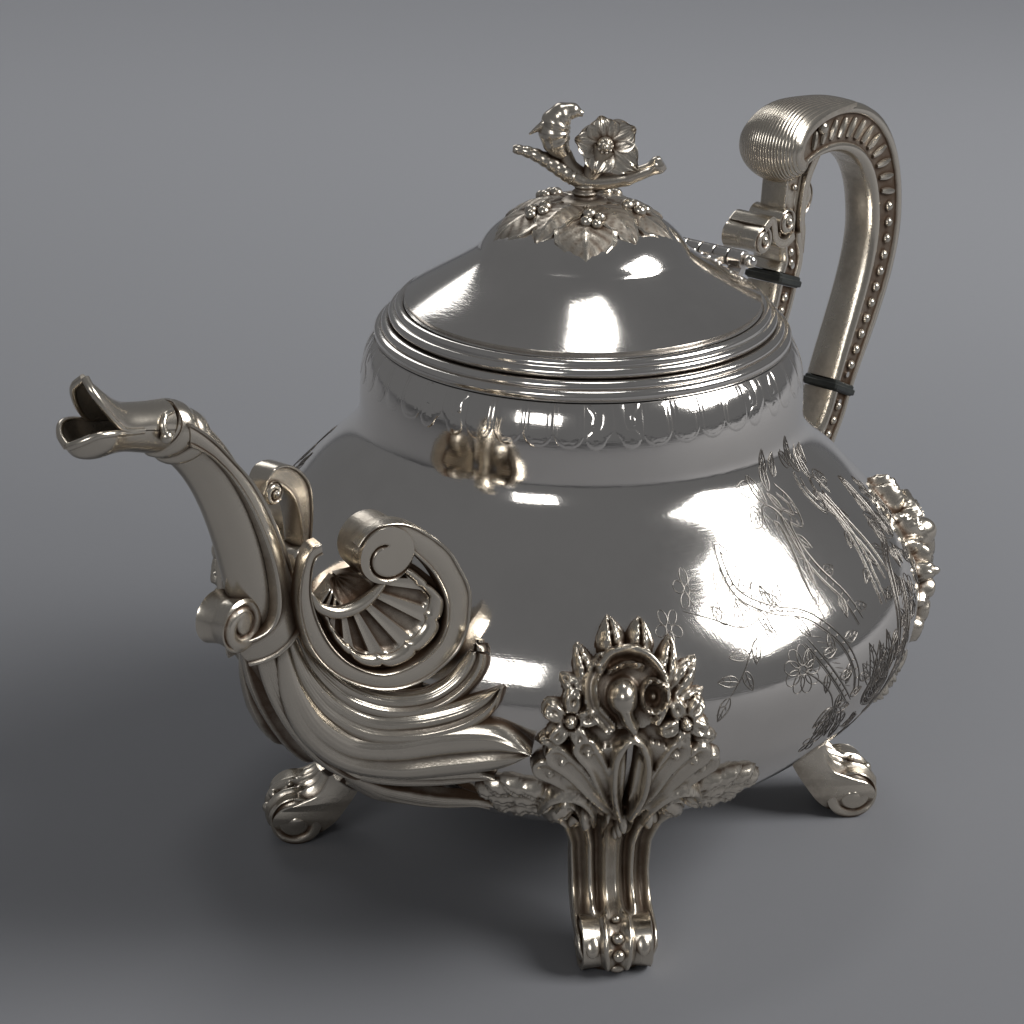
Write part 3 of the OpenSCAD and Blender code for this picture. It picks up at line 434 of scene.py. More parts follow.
def upright(origin, phi):
    """Maps (u, z, h) to the row frame: u along the level direction phi, h out towards the left."""
    a = math.radians(phi)
    o = np.asarray(origin, float)

    def to_world(u, z, h=0.0):
        return xyz(o[0] + u * math.cos(a) + h * math.sin(a), o[1] + u * math.sin(a) - h * math.cos(a), z)
    return to_world


# ---- relief: heights over a flat sheet, in millimetres ----

OUTSIDE = -1.2


def rel_leaf(X, Y, root, angle, long, wide, high, veins):
    """Pointed leaf with a midrib and side veins."""
    u, v = spin(X - root[0], Y - root[1], -angle)
    u = u / long
    inside = (u > -0.05) & (u < 1.02)
    uc = np.clip(u, 0, 1)
    w = wide / 2 * np.sin(np.pi * np.clip(uc, 0.02, 0.995) ** 0.72) ** 0.75 + 0.15
    q = np.abs(v) / w
    h = high * (1 - q ** 2.6) * (0.55 + 0.45 * np.sin(np.pi * np.clip(uc, 0, 1)))
    h = h - 0.3 * high * bump(v, 0, 0.035 * wide + 0.12)
    h = h - 0.13 * high * np.clip(1 - q, 0, 1) * (0.5 + 0.5 * np.cos(2 * np.pi * (uc * veins - 0.9 * q)))
    return np.where(inside & (q < 1.6), np.maximum(h, OUTSIDE), OUTSIDE)


def rel_ball(X, Y, at, r, high, flat=0.0):
    """Half ball, or a disc as flat nears 1."""
    d = np.hypot(X - at[0], Y - at[1]) / r
    return np.where(d < 1.25, high * (np.sqrt(np.clip(1 - d * d, 0, 1)) * (1 - flat) + flat * (d < 1))
                    - 2.5 * high * np.clip(d - 1, 0, 1), OUTSIDE)


def rel_ring(X, Y, at, r, w, high):
    """Round ring of radius r, w wide on both sides of it."""
    d = np.abs(np.hypot(X - at[0], Y - at[1]) - r) / w
    return np.where(d < 1.3, high * (1 - d ** 2), OUTSIDE)


def rel_petals(X, Y, at, r, n, turn, high):
    """Open blossom of n round petals."""
    h = np.full_like(X, OUTSIDE)
    for k in range(n):
        px, py = spin(0.58 * r, 0.0, turn + 360 * k / n)
        u, v = spin(X - at[0] - px, Y - at[1] - py, -turn - 360 * k / n)
        q = np.hypot(u / (0.46 * r), v / (0.4 * r))
        petal = high * (1 - q ** 3) - 0.35 * high * np.clip(1 - q * 1.25, 0, 1)
        petal = petal - 0.08 * high * np.cos(v * 9.0 / r * 2) * (q < 1)
        h = np.maximum(h, np.where(q < 1.3, petal, OUTSIDE))
    h = np.maximum(h, rel_ball(X, Y, at, 0.24 * r, high * 1.15))
    return np.maximum(h, rel_ring(X, Y, at, 0.3 * r, 0.1 * r, high * 0.75))


def rel_stroke(X, Y, path, width, high, kind="round"):
    """Band along a path: round, or a gutter with raised edges."""
    path = np.asarray(path, float)
    width = np.broadcast_to(np.asarray(width, float), (len(path),))
    high = np.broadcast_to(np.asarray(high, float), (len(path),))
    best = np.full(X.shape, 1e9)
    peak = np.zeros(X.shape)
    for i in range(len(path) - 1):
        a, b = path[i], path[i + 1]
        d = b - a
        l2 = max(d @ d, 1e-9)
        t = np.clip(((X - a[0]) * d[0] + (Y - a[1]) * d[1]) / l2, 0, 1)
        w = width[i] + (width[i + 1] - width[i]) * t
        q = np.hypot(X - a[0] - t * d[0], Y - a[1] - t * d[1]) / np.maximum(w, 0.05)
        take = q < best
        best = np.where(take, q, best)
        peak = np.where(take, high[i] + (high[i + 1] - high[i]) * t, peak)
    gutter = (1 - best ** 5) - 0.42 * np.clip(1 - (best / 0.7) ** 2, 0, 1)
    shape = 1 - best ** 2 if kind == "round" else gutter
    return np.where(best < 1.35, peak * shape, OUTSIDE)


def relief_dark(h, soft=3):
    """Tarnish where the relief is lower than its surroundings."""
    p = np.maximum(h, 0)
    b = p.copy()
    for _ in range(soft):
        for ax in (0, 1):
            b = (np.roll(b, 1, ax) + np.roll(b, 2, ax) + b + np.roll(b, -1, ax) + np.roll(b, -2, ax)) / 5
    scale = max(float(p.max()), 0.5)
    return np.clip((b - p) / scale * 3.2, 0, 1)


# ---- geometry nodes ----

class Tree:
    """A geometry node group with named inputs."""

    def __init__(self, name, **inputs):
        self.group = bpy.data.node_groups.new(name, "GeometryNodeTree")
        face = self.group.interface
        face.new_socket("Geometry", in_out="INPUT", socket_type="NodeSocketGeometry")
        for title, kind in inputs.items():
            face.new_socket(title, in_out="INPUT", socket_type="NodeSocket" + kind)
        face.new_socket("Geometry", in_out="OUTPUT", socket_type="NodeSocketGeometry")
        self.given = self.group.nodes.new("NodeGroupInput").outputs
        self.result = self.group.nodes.new("NodeGroupOutput")

    def node(self, kind, values=None, **settings):
        n = self.group.nodes.new(kind)
        for key, value in settings.items():
            setattr(n, key, value)
        for key, value in (values or {}).items():
            if isinstance(value, bpy.types.NodeSocket):
                self.group.links.new(value, n.inputs[key])
            else:
                n.inputs[key].default_value = value
        return n

    def finish(self, geometry):
        smooth = self.node("GeometryNodeSetShadeSmooth", {"Geometry": geometry})
        real = self.node("GeometryNodeRealizeInstances", {"Geometry": smooth.outputs[0]})
        paint = self.node("GeometryNodeSetMaterial", {"Geometry": real.outputs[0],
                                                      "Material": self.given["Material"]})
        self.group.links.new(paint.outputs[0], self.result.inputs[0])
        return self.group


def turned_tree():
    """Turns a closed outline curve about the Z axis."""
    t = Tree("Turned", Segments="Int", Material="Material")
    path = t.node("GeometryNodeCurvePrimitiveCircle", {"Resolution": t.given["Segments"], "Radius": 1e-6},
                  mode="RADIUS")
    body = t.node("GeometryNodeCurveToMesh", {"Curve": path.outputs["Curve"],
                                              "Profile Curve": t.given["Geometry"]})
    weld = t.node("GeometryNodeMergeByDistance", {"Geometry": body.outputs[0], "Distance": 2e-6})
    return t.finish(weld.outputs[0])


def around_tree():
    """Repeats a motif about the Z axis."""
    t = Tree("Around", Count="Int", Step="Float", Material="Material")
    spots = t.node("GeometryNodeMeshLine", {"Count": t.given["Count"], "Offset": (0.0, 0.0, 0.0)})
    number = t.node("GeometryNodeInputIndex")
    angle = t.node("ShaderNodeMath", {0: number.outputs[0], 1: t.given["Step"]}, operation="MULTIPLY")
    turn = t.node("ShaderNodeCombineXYZ", {"Z": angle.outputs[0]})
    put = t.node("GeometryNodeInstanceOnPoints", {"Points": spots.outputs[0], "Instance": t.given["Geometry"],
                                                 "Rotation": turn.outputs[0]})
    return t.finish(put.outputs[0])


TREES = {}


def grow(source, tree, name, **values):
    """Runs a tree on an object and returns the result as a plain mesh object."""
    if tree not in TREES:
        TREES[tree] = {"turned": turned_tree, "around": around_tree}[tree]()
    group = TREES[tree]
    mod = source.modifiers.new(tree, "NODES")
    mod.node_group = group
    for item in group.interface.items_tree:
        if item.item_type == "SOCKET" and item.in_out == "INPUT" and item.name in values:
            mod[item.identifier] = values[item.name]
    bpy.context.view_layer.update()
    mesh = bpy.data.meshes.new_from_object(source.evaluated_get(bpy.context.evaluated_depsgraph_get()))
    mesh.name = name
    bpy.data.objects.remove(source)
    obj = bpy.data.objects.new(name, mesh)
    bpy.context.scene.collection.objects.link(obj)
    return obj


def curve_object(paths, cyclic=False):
    """A poly curve object through paths of points in millimetres."""
    data = bpy.data.curves.new("path", "CURVE")
    data.dimensions = "3D"
    for path in paths:
        line = data.splines.new("POLY")
        line.points.add(len(path) - 1)
        line.points.foreach_set("co", np.c_[np.asarray(path, float) * MM, np.ones(len(path))].reshape(-1))
        line.use_cyclic_u = cyclic
    obj = bpy.data.objects.new("path", data)
    bpy.context.scene.collection.objects.link(obj)
    return obj


def lathe(outline, name, material, segments, angle=40.0):
    """A turned piece from its closed outline of (radius, height)."""
    source = curve_object([np.c_[outline[:, 0], -outline[:, 1], np.zeros(len(outline))]], cyclic=True)
    obj = grow(source, "turned", name, Segments=segments, Material=material)
    low = min(v.co.z for v in obj.data.vertices)
    if abs(low - outline[:, 1].min() * MM) > 1e-5:
        raise RuntimeError(f"{name} was turned the wrong way up")
    outward(obj.data)
    obj.data.set_sharp_from_angle(angle=math.radians(angle))
    return obj


# ---- materials ----

class Socket:
    """A shader value that can be used in a Python expression."""

    def __init__(self, shader, socket):
        self.shader, self.socket = shader, socket

    def _math(self, operation, a, b):
        return self.shader.node("ShaderNodeMath", {0: a, 1: b}, operation=operation).out()

    def __add__(self, other): return self._math("ADD", self, other)
    def __radd__(self, other): return self._math("ADD", other, self)
    def __sub__(self, other): return self._math("SUBTRACT", self, other)
    def __rsub__(self, other): return self._math("SUBTRACT", other, self)
    def __mul__(self, other): return self._math("MULTIPLY", self, other)
    def __rmul__(self, other): return self._math("MULTIPLY", other, self)
    def __truediv__(self, other): return self._math("DIVIDE", self, other)
    def __pow__(self, other): return self._math("POWER", self, other)

    def between(self, low, high):
        """0 below low, 1 above high and smooth between."""
        return self.shader.node("ShaderNodeMapRange", {"Value": self, "From Min": low, "From Max": high},
                                interpolation_type="SMOOTHSTEP").out()


class Shader:
    """Builds one material's nodes."""

    def __init__(self, name):
        self.material = bpy.data.materials.new(name)
        self.material.use_nodes = True
        self.nodes = self.material.node_tree.nodes
        self.links = self.material.node_tree.links
        self.principled = self.nodes["Principled BSDF"]

    def node(self, kind, values=None, **settings):
        n = self.nodes.new(kind)
        for key, value in settings.items():
            setattr(n, key, value)
        for key, value in (values or {}).items():
            self.put(n.inputs[key], value)
        return SimpleNamespace(node=n, out=lambda key=0: Socket(self, n.outputs[key]))

    def put(self, socket, value):
        if isinstance(value, Socket):
            self.links.new(value.socket, socket)
        else:
            socket.default_value = value

    def position(self):
        return self.node("ShaderNodeTexCoord").out("Object")

    def stretched(self, scale, turn=(0.0, 0.0, 0.0)):
        return self.node("ShaderNodeMapping", {"Vector": self.position(), "Scale": scale,
                                               "Rotation": turn}).out()

    def noise(self, scale, detail=3.0, rough=0.55, at=None):
        return self.node("ShaderNodeTexNoise", {"Vector": at or self.position(), "Scale": scale,
                                                "Detail": detail, "Roughness": rough}).out(0)

    def attribute(self, name):
        return self.node("ShaderNodeAttribute", attribute_name=name).out("Fac")

    def blend(self, mask, a, b):
        n = self.node("ShaderNodeMix", data_type="RGBA").node
        self.put(n.inputs[0], mask)
        self.put(n.inputs[6], a)
        self.put(n.inputs[7], b)
        return Socket(self, n.outputs[2])

    def bump(self, height, strength, distance, normal=None):
        values = {"Height": height, "Strength": strength, "Distance": distance}
        if normal is not None:
            values["Normal"] = normal
        return self.node("ShaderNodeBump", values).out()

    def set(self, **values):
        for key, value in values.items():
            self.put(self.principled.inputs[key.replace("_", " ")], value)


def silver(name, base, stain, polish, hairline, crevice_mm, soil=0.6, wobble=0.0, stipple=0.0):
    """Silver: metal with brown tarnish low in the relief, hairlines and a slightly uneven surface."""
    s = Shader(name)
    s.material.diffuse_color = base
    hollow = s.attribute("dark")
    nook = 1 - s.node("ShaderNodeAmbientOcclusion", {"Distance": crevice_mm * MM}, samples=6,
                      inside=False).out("AO")
    patches = s.noise(42.0, 4.0)
    fine = s.noise(420.0, 5.0, 0.62)
    dirt = nook * 1.25 + hollow * 0.9 + (patches - 0.5) * 0.55 + (fine - 0.5) * 0.35
    mask = (dirt * soil).between(0.12, 0.78)
    tone = s.blend(patches.between(0.35, 0.7), base, tuple(c * 0.93 for c in base[:3]) + (1.0,))
    s.set(Base_Color=s.blend(mask, tone, stain), Metallic=1 - mask * 0.35,
          Roughness=(patches - 0.5) * 0.05 + fine * 0.05 + polish + mask * 0.34)
    marks = s.noise(900.0, 2.0, 0.5, s.stretched((0.25, 0.25, 3.5), (0.35, 0.2, 0.0)))
    marks_across = s.noise(760.0, 2.0, 0.5, s.stretched((3.0, 0.3, 0.4), (0.0, 0.5, 0.3)))
    normal = s.bump(marks + marks_across, hairline, 0.00003)
    if wobble:
        normal = s.bump(s.noise(16.0, 2.0, 0.5), wobble, 0.0009, normal)
    if stipple:
        dots = s.node("ShaderNodeTexVoronoi", {"Vector": s.position(), "Scale": 1500.0}).out("Distance")
        normal = s.bump(dots * hollow, stipple, 0.00012, normal)
    s.set(Normal=normal)
    return s.material


def ebonite(name, deep, pale):
    """Near-black insulating slabs, rubbed satin, with fine saw marks."""
    s = Shader(name)
    grain = s.noise(1300.0, 3.0, 0.6, s.stretched((0.4, 3.0, 3.0)))
    patches = s.noise(180.0, 3.0)
    s.material.diffuse_color = linear(30, 32, 30)
    s.set(Base_Color=s.blend(patches.between(0.3, 0.7), deep, pale),
          Roughness=patches * 0.2 + 0.32, Normal=s.bump(grain, 0.35, 0.00006))
    s.principled.inputs["IOR"].default_value = 1.6
    return s.material


TOWARDS_BACK = (0.784, 0.62, 0.0)      # level direction in which the painted shade on the paper lifts, so the paper gets paler


def paper(name, far):
    """Matte studio paper with a faint tooth, darker in front of the pot than behind it: painted shade for the
    fall of the light over the floor.
    """
    s = Shader(name)
    # painted shade: the near colour is the paper's colour halved, darkening the paper in front of the pot
    near = tuple(c * 0.5 for c in far[:3]) + (1.0,)
    depth = s.node("ShaderNodeVectorMath", {0: s.position(), 1: TOWARDS_BACK},
                   operation="DOT_PRODUCT").out("Value")
    # painted shade that fades out towards the back, for the fall of the light over the floor
    painted_falloff = (depth + (s.noise(3.0, 3.0) - 0.5) * 0.04).between(-0.15, 0.85)
    s.set(Base_Color=s.blend(painted_falloff, near, far), Roughness=s.noise(260.0, 2.0) * 0.1 + 0.75,
          Normal=s.bump(s.noise(900.0, 2.0), 0.08, 0.0002))
    s.principled.inputs["Specular IOR Level"].default_value = 0.2
    return s.material


MATERIALS = {}


def finishes():
    """The object's materials, made once from the finish settings."""
    if MATERIALS:
        return MATERIALS
    f = bpy.context.scene.teapot_finish
    bright, warm, lines, brown, soot, slab, slab_pale = [
        tuple(c) for c in (f.bright, f.warm, f.lines, f.brown, f.soot, f.slab, f.slab_pale)]
    MATERIALS["sheet"] = silver("polished_sheet", bright, brown, f.polish, f.hairlines, 2.2, f.tarnish, 0.22)
    MATERIALS["cast"] = silver("cast_ornament", warm, brown, f.polish + 0.12, f.hairlines, 3.2,
                               f.tarnish * 1.3, 0.1, 0.5)
    MATERIALS["work"] = silver("fittings", bright, brown, f.polish + 0.04, f.hairlines, 1.2, f.tarnish)
    MATERIALS["cut"] = silver("engraved_lines", lines, soot, f.polish + 0.14,
                              f.hairlines, 1.0, f.tarnish * 1.35)
    MATERIALS["slab"] = ebonite("insulating_slab", slab, slab_pale)
    return MATERIALS


# ---- the pieces, one operator each ----

class PieceOperator(bpy.types.Operator):
    """Common part of the operators that make the pieces"""
    bl_options = {"REGISTER"}

    def execute(self, context):
        self.build(context)
        return {"FINISHED"}


MOUTH_R, SEAT_Z, LID_Z = 40.5, 135.0, 135.25
FLANGE_R, FLANGE_Z, DOME_Z = 42.6, 139.05, 161.2


class TEAPOT_OT_body(PieceOperator):
    """Raised body with its mouth collar"""
    bl_idname = "teapot.body"
    bl_label = "Body and collar"

    def build(self, context):
        m = finishes()
        wall = context.scene.teapot_body.wall / MM
        steps = context.scene.teapot_body.segments
        inside = beside(OUTLINE, -wall)
        shell = np.vstack([[(0, BASE_Z)], OUTLINE, inside[::-1], [(0, BASE_Z + wall)]])
        shell[:, 0] = np.maximum(shell[:, 0], 0.0)
        body = lathe(shell, "body", m["sheet"], steps)
        place(body, "pot", "raised_silver", "body_shell")
        collar = np.vstack([
            [(MOUTH_R, 128.3), (49.0, 130.95), (49.6, 131.2)],
            arc(48.35, 132.25, 1.35, -40, 110, 11), arc(46.7, 133.95, 1.35, -20, 100, 11),
            [(45.9, SEAT_Z), (41.0, SEAT_Z)], arc(MOUTH_R + 0.5, SEAT_Z - 0.5, 0.5, 90, 180, 4)])
        place(lathe(collar, "mouth_collar_ring", m["sheet"], steps), "pot", "raised_silver", "mouth_collar")


class TEAPOT_OT_lid(PieceOperator):
    """Domed lid with its bezel"""
    bl_idname = "teapot.lid"
    bl_label = "Lid"

    def build(self, context):
        m = finishes()
        steps = context.scene.teapot_body.segments
        bezel = np.vstack([
            [(38.6, 130.8), (39.8, 130.8), (39.8, LID_Z), (44.6, LID_Z)],
            arc(45.05, 136.45, 1.2, -80, 100, 12), arc(43.55, 138.05, 1.2, -10, 90, 9),
            [(FLANGE_R, FLANGE_Z - 0.35), (38.6, FLANGE_Z - 1.35)]])
        place(lathe(bezel, "lid_rim", m["sheet"], steps), "lid", "raised_silver", "lid_bezel")
        dome = dome_line()
        inside = beside(dome[::-1], -1.0)[::-1]
        inside[:, 0] = np.maximum(inside[:, 0], 0)
        inside[0] = (FLANGE_R - 0.6, FLANGE_Z - 0.3)
        shell = np.vstack([dome, [(0, DOME_Z - 1)], inside[::-1][1:]])
        place(lathe(shell, "lid_dome_shell", m["sheet"], steps), "lid", "raised_silver", "lid_dome")


def dome_line():
    """Outline of the dome from its flange to its top."""
    return chain([
        [(FLANGE_R, FLANGE_Z), (36.5, 143.05), (28, 147.2), (24, 151.2)],
        [(24, 151.2), (21.5, 157.6), (12, DOME_Z), (0, DOME_Z)],
    ], 22)


def dome_at(r):
    line = dome_line()[::-1]
    return np.interp(r, line[:, 0], line[:, 1])


HINGE_X, HINGE_Z, BARREL_R, KNUCKLE_STEP = 53.0, 138.8, 2.3, 4.3
ALONG_Y = [[1, 0, 0], [0, 0, 1], [0, 1, 0]]


class TEAPOT_OT_hinge(PieceOperator):
    """Five-knuckle hinge with its leaf, bracket and pin"""
    bl_idname = "teapot.hinge"
    bl_label = "Hinge"

    # webs in XZ that join the knuckles to the leaf on the lid and to the bracket on the collar
    LEAF_WEB = [(HINGE_X - 1.5, HINGE_Z - 1.4), (HINGE_X - 1.5, HINGE_Z + 0.9), (44.5, FLANGE_Z + 0.9),
                (42.2, FLANGE_Z + 0.6), (43.2, FLANGE_Z - 0.1), (46.6, 137.9)]
    BRACKET_WEB = [(HINGE_X - 1.2, HINGE_Z - 1.6), (HINGE_X + 1.8, HINGE_Z - 1.2), (51.6, 133.6),
                   (49.9, 133.2), (49.9, 134.9)]
    PIN_R, PIN_HALF, BALL_AT = 1.0, 11.2, 12.3

    def build(self, context):
        work = finishes()["work"]
        for name, body, node, knuckles, web, plate in (
                ("hinge_leaf_plate", "lid", "hinge_leaf", (-1, 1), self.LEAF_WEB, self.leaf),
                ("hinge_bracket_plate", "pot", "hinge_bracket", (-2, 0, 2), self.BRACKET_WEB, self.strip)):
            part = Piece()
            for k in knuckles:
                self.knuckle(part, k * KNUCKLE_STEP, web)
            plate(part)
            place(part.make(name, work, 35), body, "worked_silver", node)
        pin = Piece()
        rod = [(0.001, -self.PIN_HALF), (self.PIN_R, -self.PIN_HALF), (self.PIN_R, self.PIN_HALF),
               (0.001, self.PIN_HALF)]
        pin.turned(rod, 24, 0.3, (HINGE_X, 0, HINGE_Z), ALONG_Y)
        for y in (-self.BALL_AT, self.BALL_AT):
            pin.ball((HINGE_X, y, HINGE_Z), 1.7, 24, 15)
        place(pin.make("hinge_pin_rod", work, 50), "pot", "worked_silver", "hinge_pin")

    @staticmethod
    def knuckle(part, y, web):
        """Barrel with its bore and bevelled ends, and the web that carries it."""
        bore, half, bevel = 1.06, 2.0, 0.15
        barrel = [(bore, -half), (BARREL_R - bevel, -half), (BARREL_R, bevel - half),
                  (BARREL_R, half - bevel), (BARREL_R - bevel, half), (bore, half)]
        part.turned(barrel, 40, 0.2, (HINGE_X, y, HINGE_Z), ALONG_Y)
        part.prism(web, y - 1.95, y + 1.95, ALONG_Y, (0, 0, 0), bevel, 0.4)

    @staticmethod
    def leaf(part):
        """Shaped plate on the lid's flange, with a beaded border."""
        line = np.array([(20.4, 0), (20.6, -3.0), (24.5, -4.6), (30, -5.5), (33.4, -9.2), (37, -13.2),
                         (40.6, -12.6), (42.3, -9.4), (42.4, 0)])
        half = even(line, 34)
        rim = np.vstack([half, (half * [1, -1])[::-1][1:-1]])
        c = np.array([36.0, 0.0])
        # from the middle out: share of the way to the rim, rise over the dome and tarnish
        share, rise, shade = np.array([(0.02, 1, 0.1), (0.35, 1, 0.1), (0.7, 1, 0.15), (0.86, 1, 0.9),
                                       (0.93, 1.45, 0.1), (0.97, 1.4, 0.2), (1, 0.9, 0.6)]).T
        flat = c + (rim - c) * share[:, None, None]
        dome = dome_at(np.hypot(flat[..., 0], flat[..., 1]))
        face, back = np.dstack([flat, dome + rise[:, None]]), np.dstack([flat, dome - 0.2])
        shade = np.r_[shade, np.full(len(share), 0.6)]
        part.rings(np.concatenate([face, back[::-1]]), np.repeat(shade[:, None], len(rim), axis=1),
                   caps=False)
        for p in even(np.vstack([rim, rim[:1]]), 42)[:-1]:
            q = c + (p - c) * 0.95
            part.ball((q[0], q[1], float(dome_at(math.hypot(*q))) + 1.4), 0.62, 8, 6)

    @staticmethod
    def strip(part):
        """Bracket on the collar under the knuckles."""
        a = np.radians(np.linspace(-21.5, 21.5, 30))
        rings = []
        for t in a:
            w = 1.0 - 0.55 * abs(t / a[-1]) ** 3
            out = [(49.75, 132.4), (50.7, 131.9), (51.2, 133.0), (50.6, 134.2 * w + 133 * (1 - w)),
                   (49.0, 134.6 * w + 133.2 * (1 - w))]
            rings.append([(r * math.cos(t), r * math.sin(t), z) for r, z in out])
        part.rings(rings, 0.35)


class TEAPOT_OT_finial(PieceOperator):
    """Blossom, bud and twigs on a rosette of leaves, with its stud and nut"""
    bl_idname = "teapot.finial"
    bl_label = "Finial"

    TURN = 308.0
    ROSETTE_Z = 161.3

    def to_world(self, p):
        return turn_z(np.asarray(p, float), self.TURN) + [0, 0, self.ROSETTE_Z]

    def build(self, context):
        m = finishes()
        self.rosette()
        self.stem()
        self.flower()
        self.bud()
        stud = Piece()
        stud.turned([(0.001, DOME_Z - 7.5), (1.3, DOME_Z - 7.5), (1.5, DOME_Z - 7.2), (1.5, DOME_Z + 3.9),
                     (0.001, DOME_Z + 3.9)], 24, 0.4)
        place(stud.make("finial_screw", m["work"]), "lid", "worked_silver", "finial_stud")
        low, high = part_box("finial_nut")
        z0, z1 = low[2] / MM, high[2] / MM
        nut = Piece()
        hexagon = arc(0, 0, 4.2, 0, 300, 6)
        bore = arc(0, 0, 1.53, 0, 300, 6)
        corners = ((hexagon * 0.97, z0), (hexagon, z0 + 0.25), (hexagon, z1 - 0.25), (hexagon * 0.97, z1),
                   (bore, z1), (bore, z0))
        nut.loop(np.stack([xyz(ring[:, 0], ring[:, 1], z) for ring, z in corners]), 0.3)
        place(nut.make("finial_hex_nut", m["work"], 25), "lid", "worked_silver", "finial_nut")

    def leaf_grid(self, angle, long, wide, lobes, droop, veins, lift=0.0, rows=34, cols=24, depth=0.2):
        """Leaf on the dome: a grid that narrows to its root and hangs over the dome."""
        u = np.linspace(0, 1, rows)[:, None]
        v = np.linspace(-1, 1, cols)[None, :]
        edge = 1 - depth * np.abs(np.sin(np.pi * lobes * u)) * u
        w = wide / 2 * np.sin(np.pi * np.clip(u, 0.03, 0.985) ** 0.8) ** 0.62 * edge
        x = 2.6 + (long - 2.6) * u + 0 * v
        y = w * v
        rib = 0.28 * bump(v, 0, 0.09) + 0.2 * np.abs(np.sin(np.pi * veins * (u - 0.16 * np.abs(v))))
        h = 1.3 + lift + 0.9 * np.sin(np.pi * u) - 1.1 * v ** 2 * u + rib - droop * u ** 3 * 0.12
        h = h + 0.35 * np.clip((np.abs(v) - 0.8) / 0.2, 0, 1)
        wx, wy = spin(x, y, angle)
        ground = dome_at(np.hypot(wx, wy))
        top = np.dstack([wx, wy, ground + h])
        bottom = np.dstack([wx, wy, ground + np.maximum(h - 1.0, 0.18)])
        dark = np.clip(0.75 - 1.8 * rib + 0.25 * (1 - u), 0, 1) * (np.abs(v) < 0.84)
        return top, bottom, dark

    def rosette(self):
        part = Piece()
        for k in range(5):
            top, bottom, dark = self.leaf_grid(218 + 72 * k, 23.4 if k % 2 else 25.0, 16.8,
                                               3.0 if k % 2 else 1.5, 7.4, 9, 0.2, depth=0.34)
            part.sheet(top, bottom, dark)
        for k in range(5):
            top, bottom, dark = self.leaf_grid(254 + 72 * k, 19.5, 11.5, 4.5, 5.0, 7, 0.8, 24, 16, 0.2)
            part.sheet(top, bottom, dark)
            for i, (r, off) in enumerate(((9.6, -3.2), (12.2, -5.2), (11.6, -1.6), (13.8, -3.4))):
                x, y = spin(r, off, 242 + 72 * k)
                part.ball((x, y, float(dome_at(math.hypot(x, y))) + 2.7), 1.7 - 0.12 * i, 12, 9, 0.1)
        cone = [(0.001, 0.4), (6.0, 0.3), (6.6, 1.3), (5.2, 2.6), (3.9, 3.1), (0.001, 3.1)]
        part.turned(cone, 40, 0.5, (0, 0, DOME_Z))
        cast(part, "finial_leaf_rosette", "finial_rosette", 60, "lid")

    def stem(self):
        part = Piece()
        ring = np.linspace(0, 1, 60)
        left = chain([[(-17, 14.4), (-10, 13.8), (-5, 8.4), (0, 7)]], 59)
        r_left = 0.75 + 1.6 * ring ** 0.8 + 0.28 * np.abs(np.sin(ring * np.pi * 9)) ** 0.6 * (ring < 0.82)
        part.rod(self.to_world(xyz(left[:, 0], 0, left[:, 1])), r_left, 20, 0.25)
        right = chain([[(0, 7), (5, 6.4), (12, 7.8), (18, 11.6)]], 59)
        r_right = 2.4 - 1.0 * ring + 0.7 * bump(ring, 0.94, 0.07) + 0.25 * bump(ring, 0.55, 0.05)
        part.rod(self.to_world(xyz(right[:, 0], 0, right[:, 1])), r_right, 20, 0.2)
        t = np.linspace(0, 1, 24)
        part.rod(self.to_world(xyz(0, 0, 2.2 + 4.8 * t)), 3.1 - 0.7 * t + 0.3 * np.sin(t * 18), 20, 0.4,
                 (0, 1, 0))
        cast(part, "finial_twig_stem", "finial_stem", 50, "lid")

    def flower(self):
        part = Piece()
        centre = vec(4.4, -1.6, 16.2)
        tilt = math.radians(-14)
        rot = np.array([[1, 0, 0], [0, math.cos(tilt), math.sin(tilt)], [0, -math.sin(tilt), math.cos(tilt)]])
        for angle, long, wide in ((172, 7.2, 7.6), (250, 7.6, 7.4), (322, 9.6, 8.2), (28, 8, 8),
                                  (100, 6.6, 7.6)):
            u = np.linspace(0, 1, 22)[:, None]
            v = np.linspace(-1, 1, 19)[None, :]
            w = wide / 2 * np.sin(np.pi * np.clip(u, 0.04, 0.97) ** 1.15) ** 0.55 * 1.02
            y = w * v
            x = long * u * (1 - 0.1 * v ** 2 * u)
            cup = 0.9 * u ** 2 + 0.9 * v ** 2 * u - 1.9 * u ** 4 * 0.6
            veins = 0.16 * np.cos(v * 14) * u + 0.2 * bump(v, 0, 0.12)
            wx, wz = spin(x, y, angle)
            face = np.dstack([wx, -(cup + veins + 0.5), wz])
            back = face + [0, 0.95, 0]
            dark = np.clip(0.9 - 1.5 * u + 0.35 * (1 - np.cos(v * 14)) * u, 0, 1)
            part.sheet(self.to_world(face @ rot + centre), self.to_world(back @ rot + centre), dark)
        part.ball(self.to_world(centre + [0, -1.3, 0.1]), 1.9, 20, 13, 0.3)
        for k in range(9):
            a = 2 * math.pi * k / 9
            part.ball(self.to_world(centre + [1.5 * math.cos(a), -2.5, 1.5 * math.sin(a)]), 0.42, 8, 6)
        part.ball(self.to_world(centre + [0, -3.0, 0]), 0.8, 12, 8)
        t = np.linspace(0, 1, 14)[:, None]
        neck = (1 - t) * vec(1.2, 0, 8.2) + t * (centre + vec(0, 0.4, -0.6))
        part.rod(self.to_world(neck), 2.3 + 0.7 * t[:, 0], 16, 0.5, (0, 1, 0))
        cast(part, "finial_blossom", "finial_flower", 60, "lid")

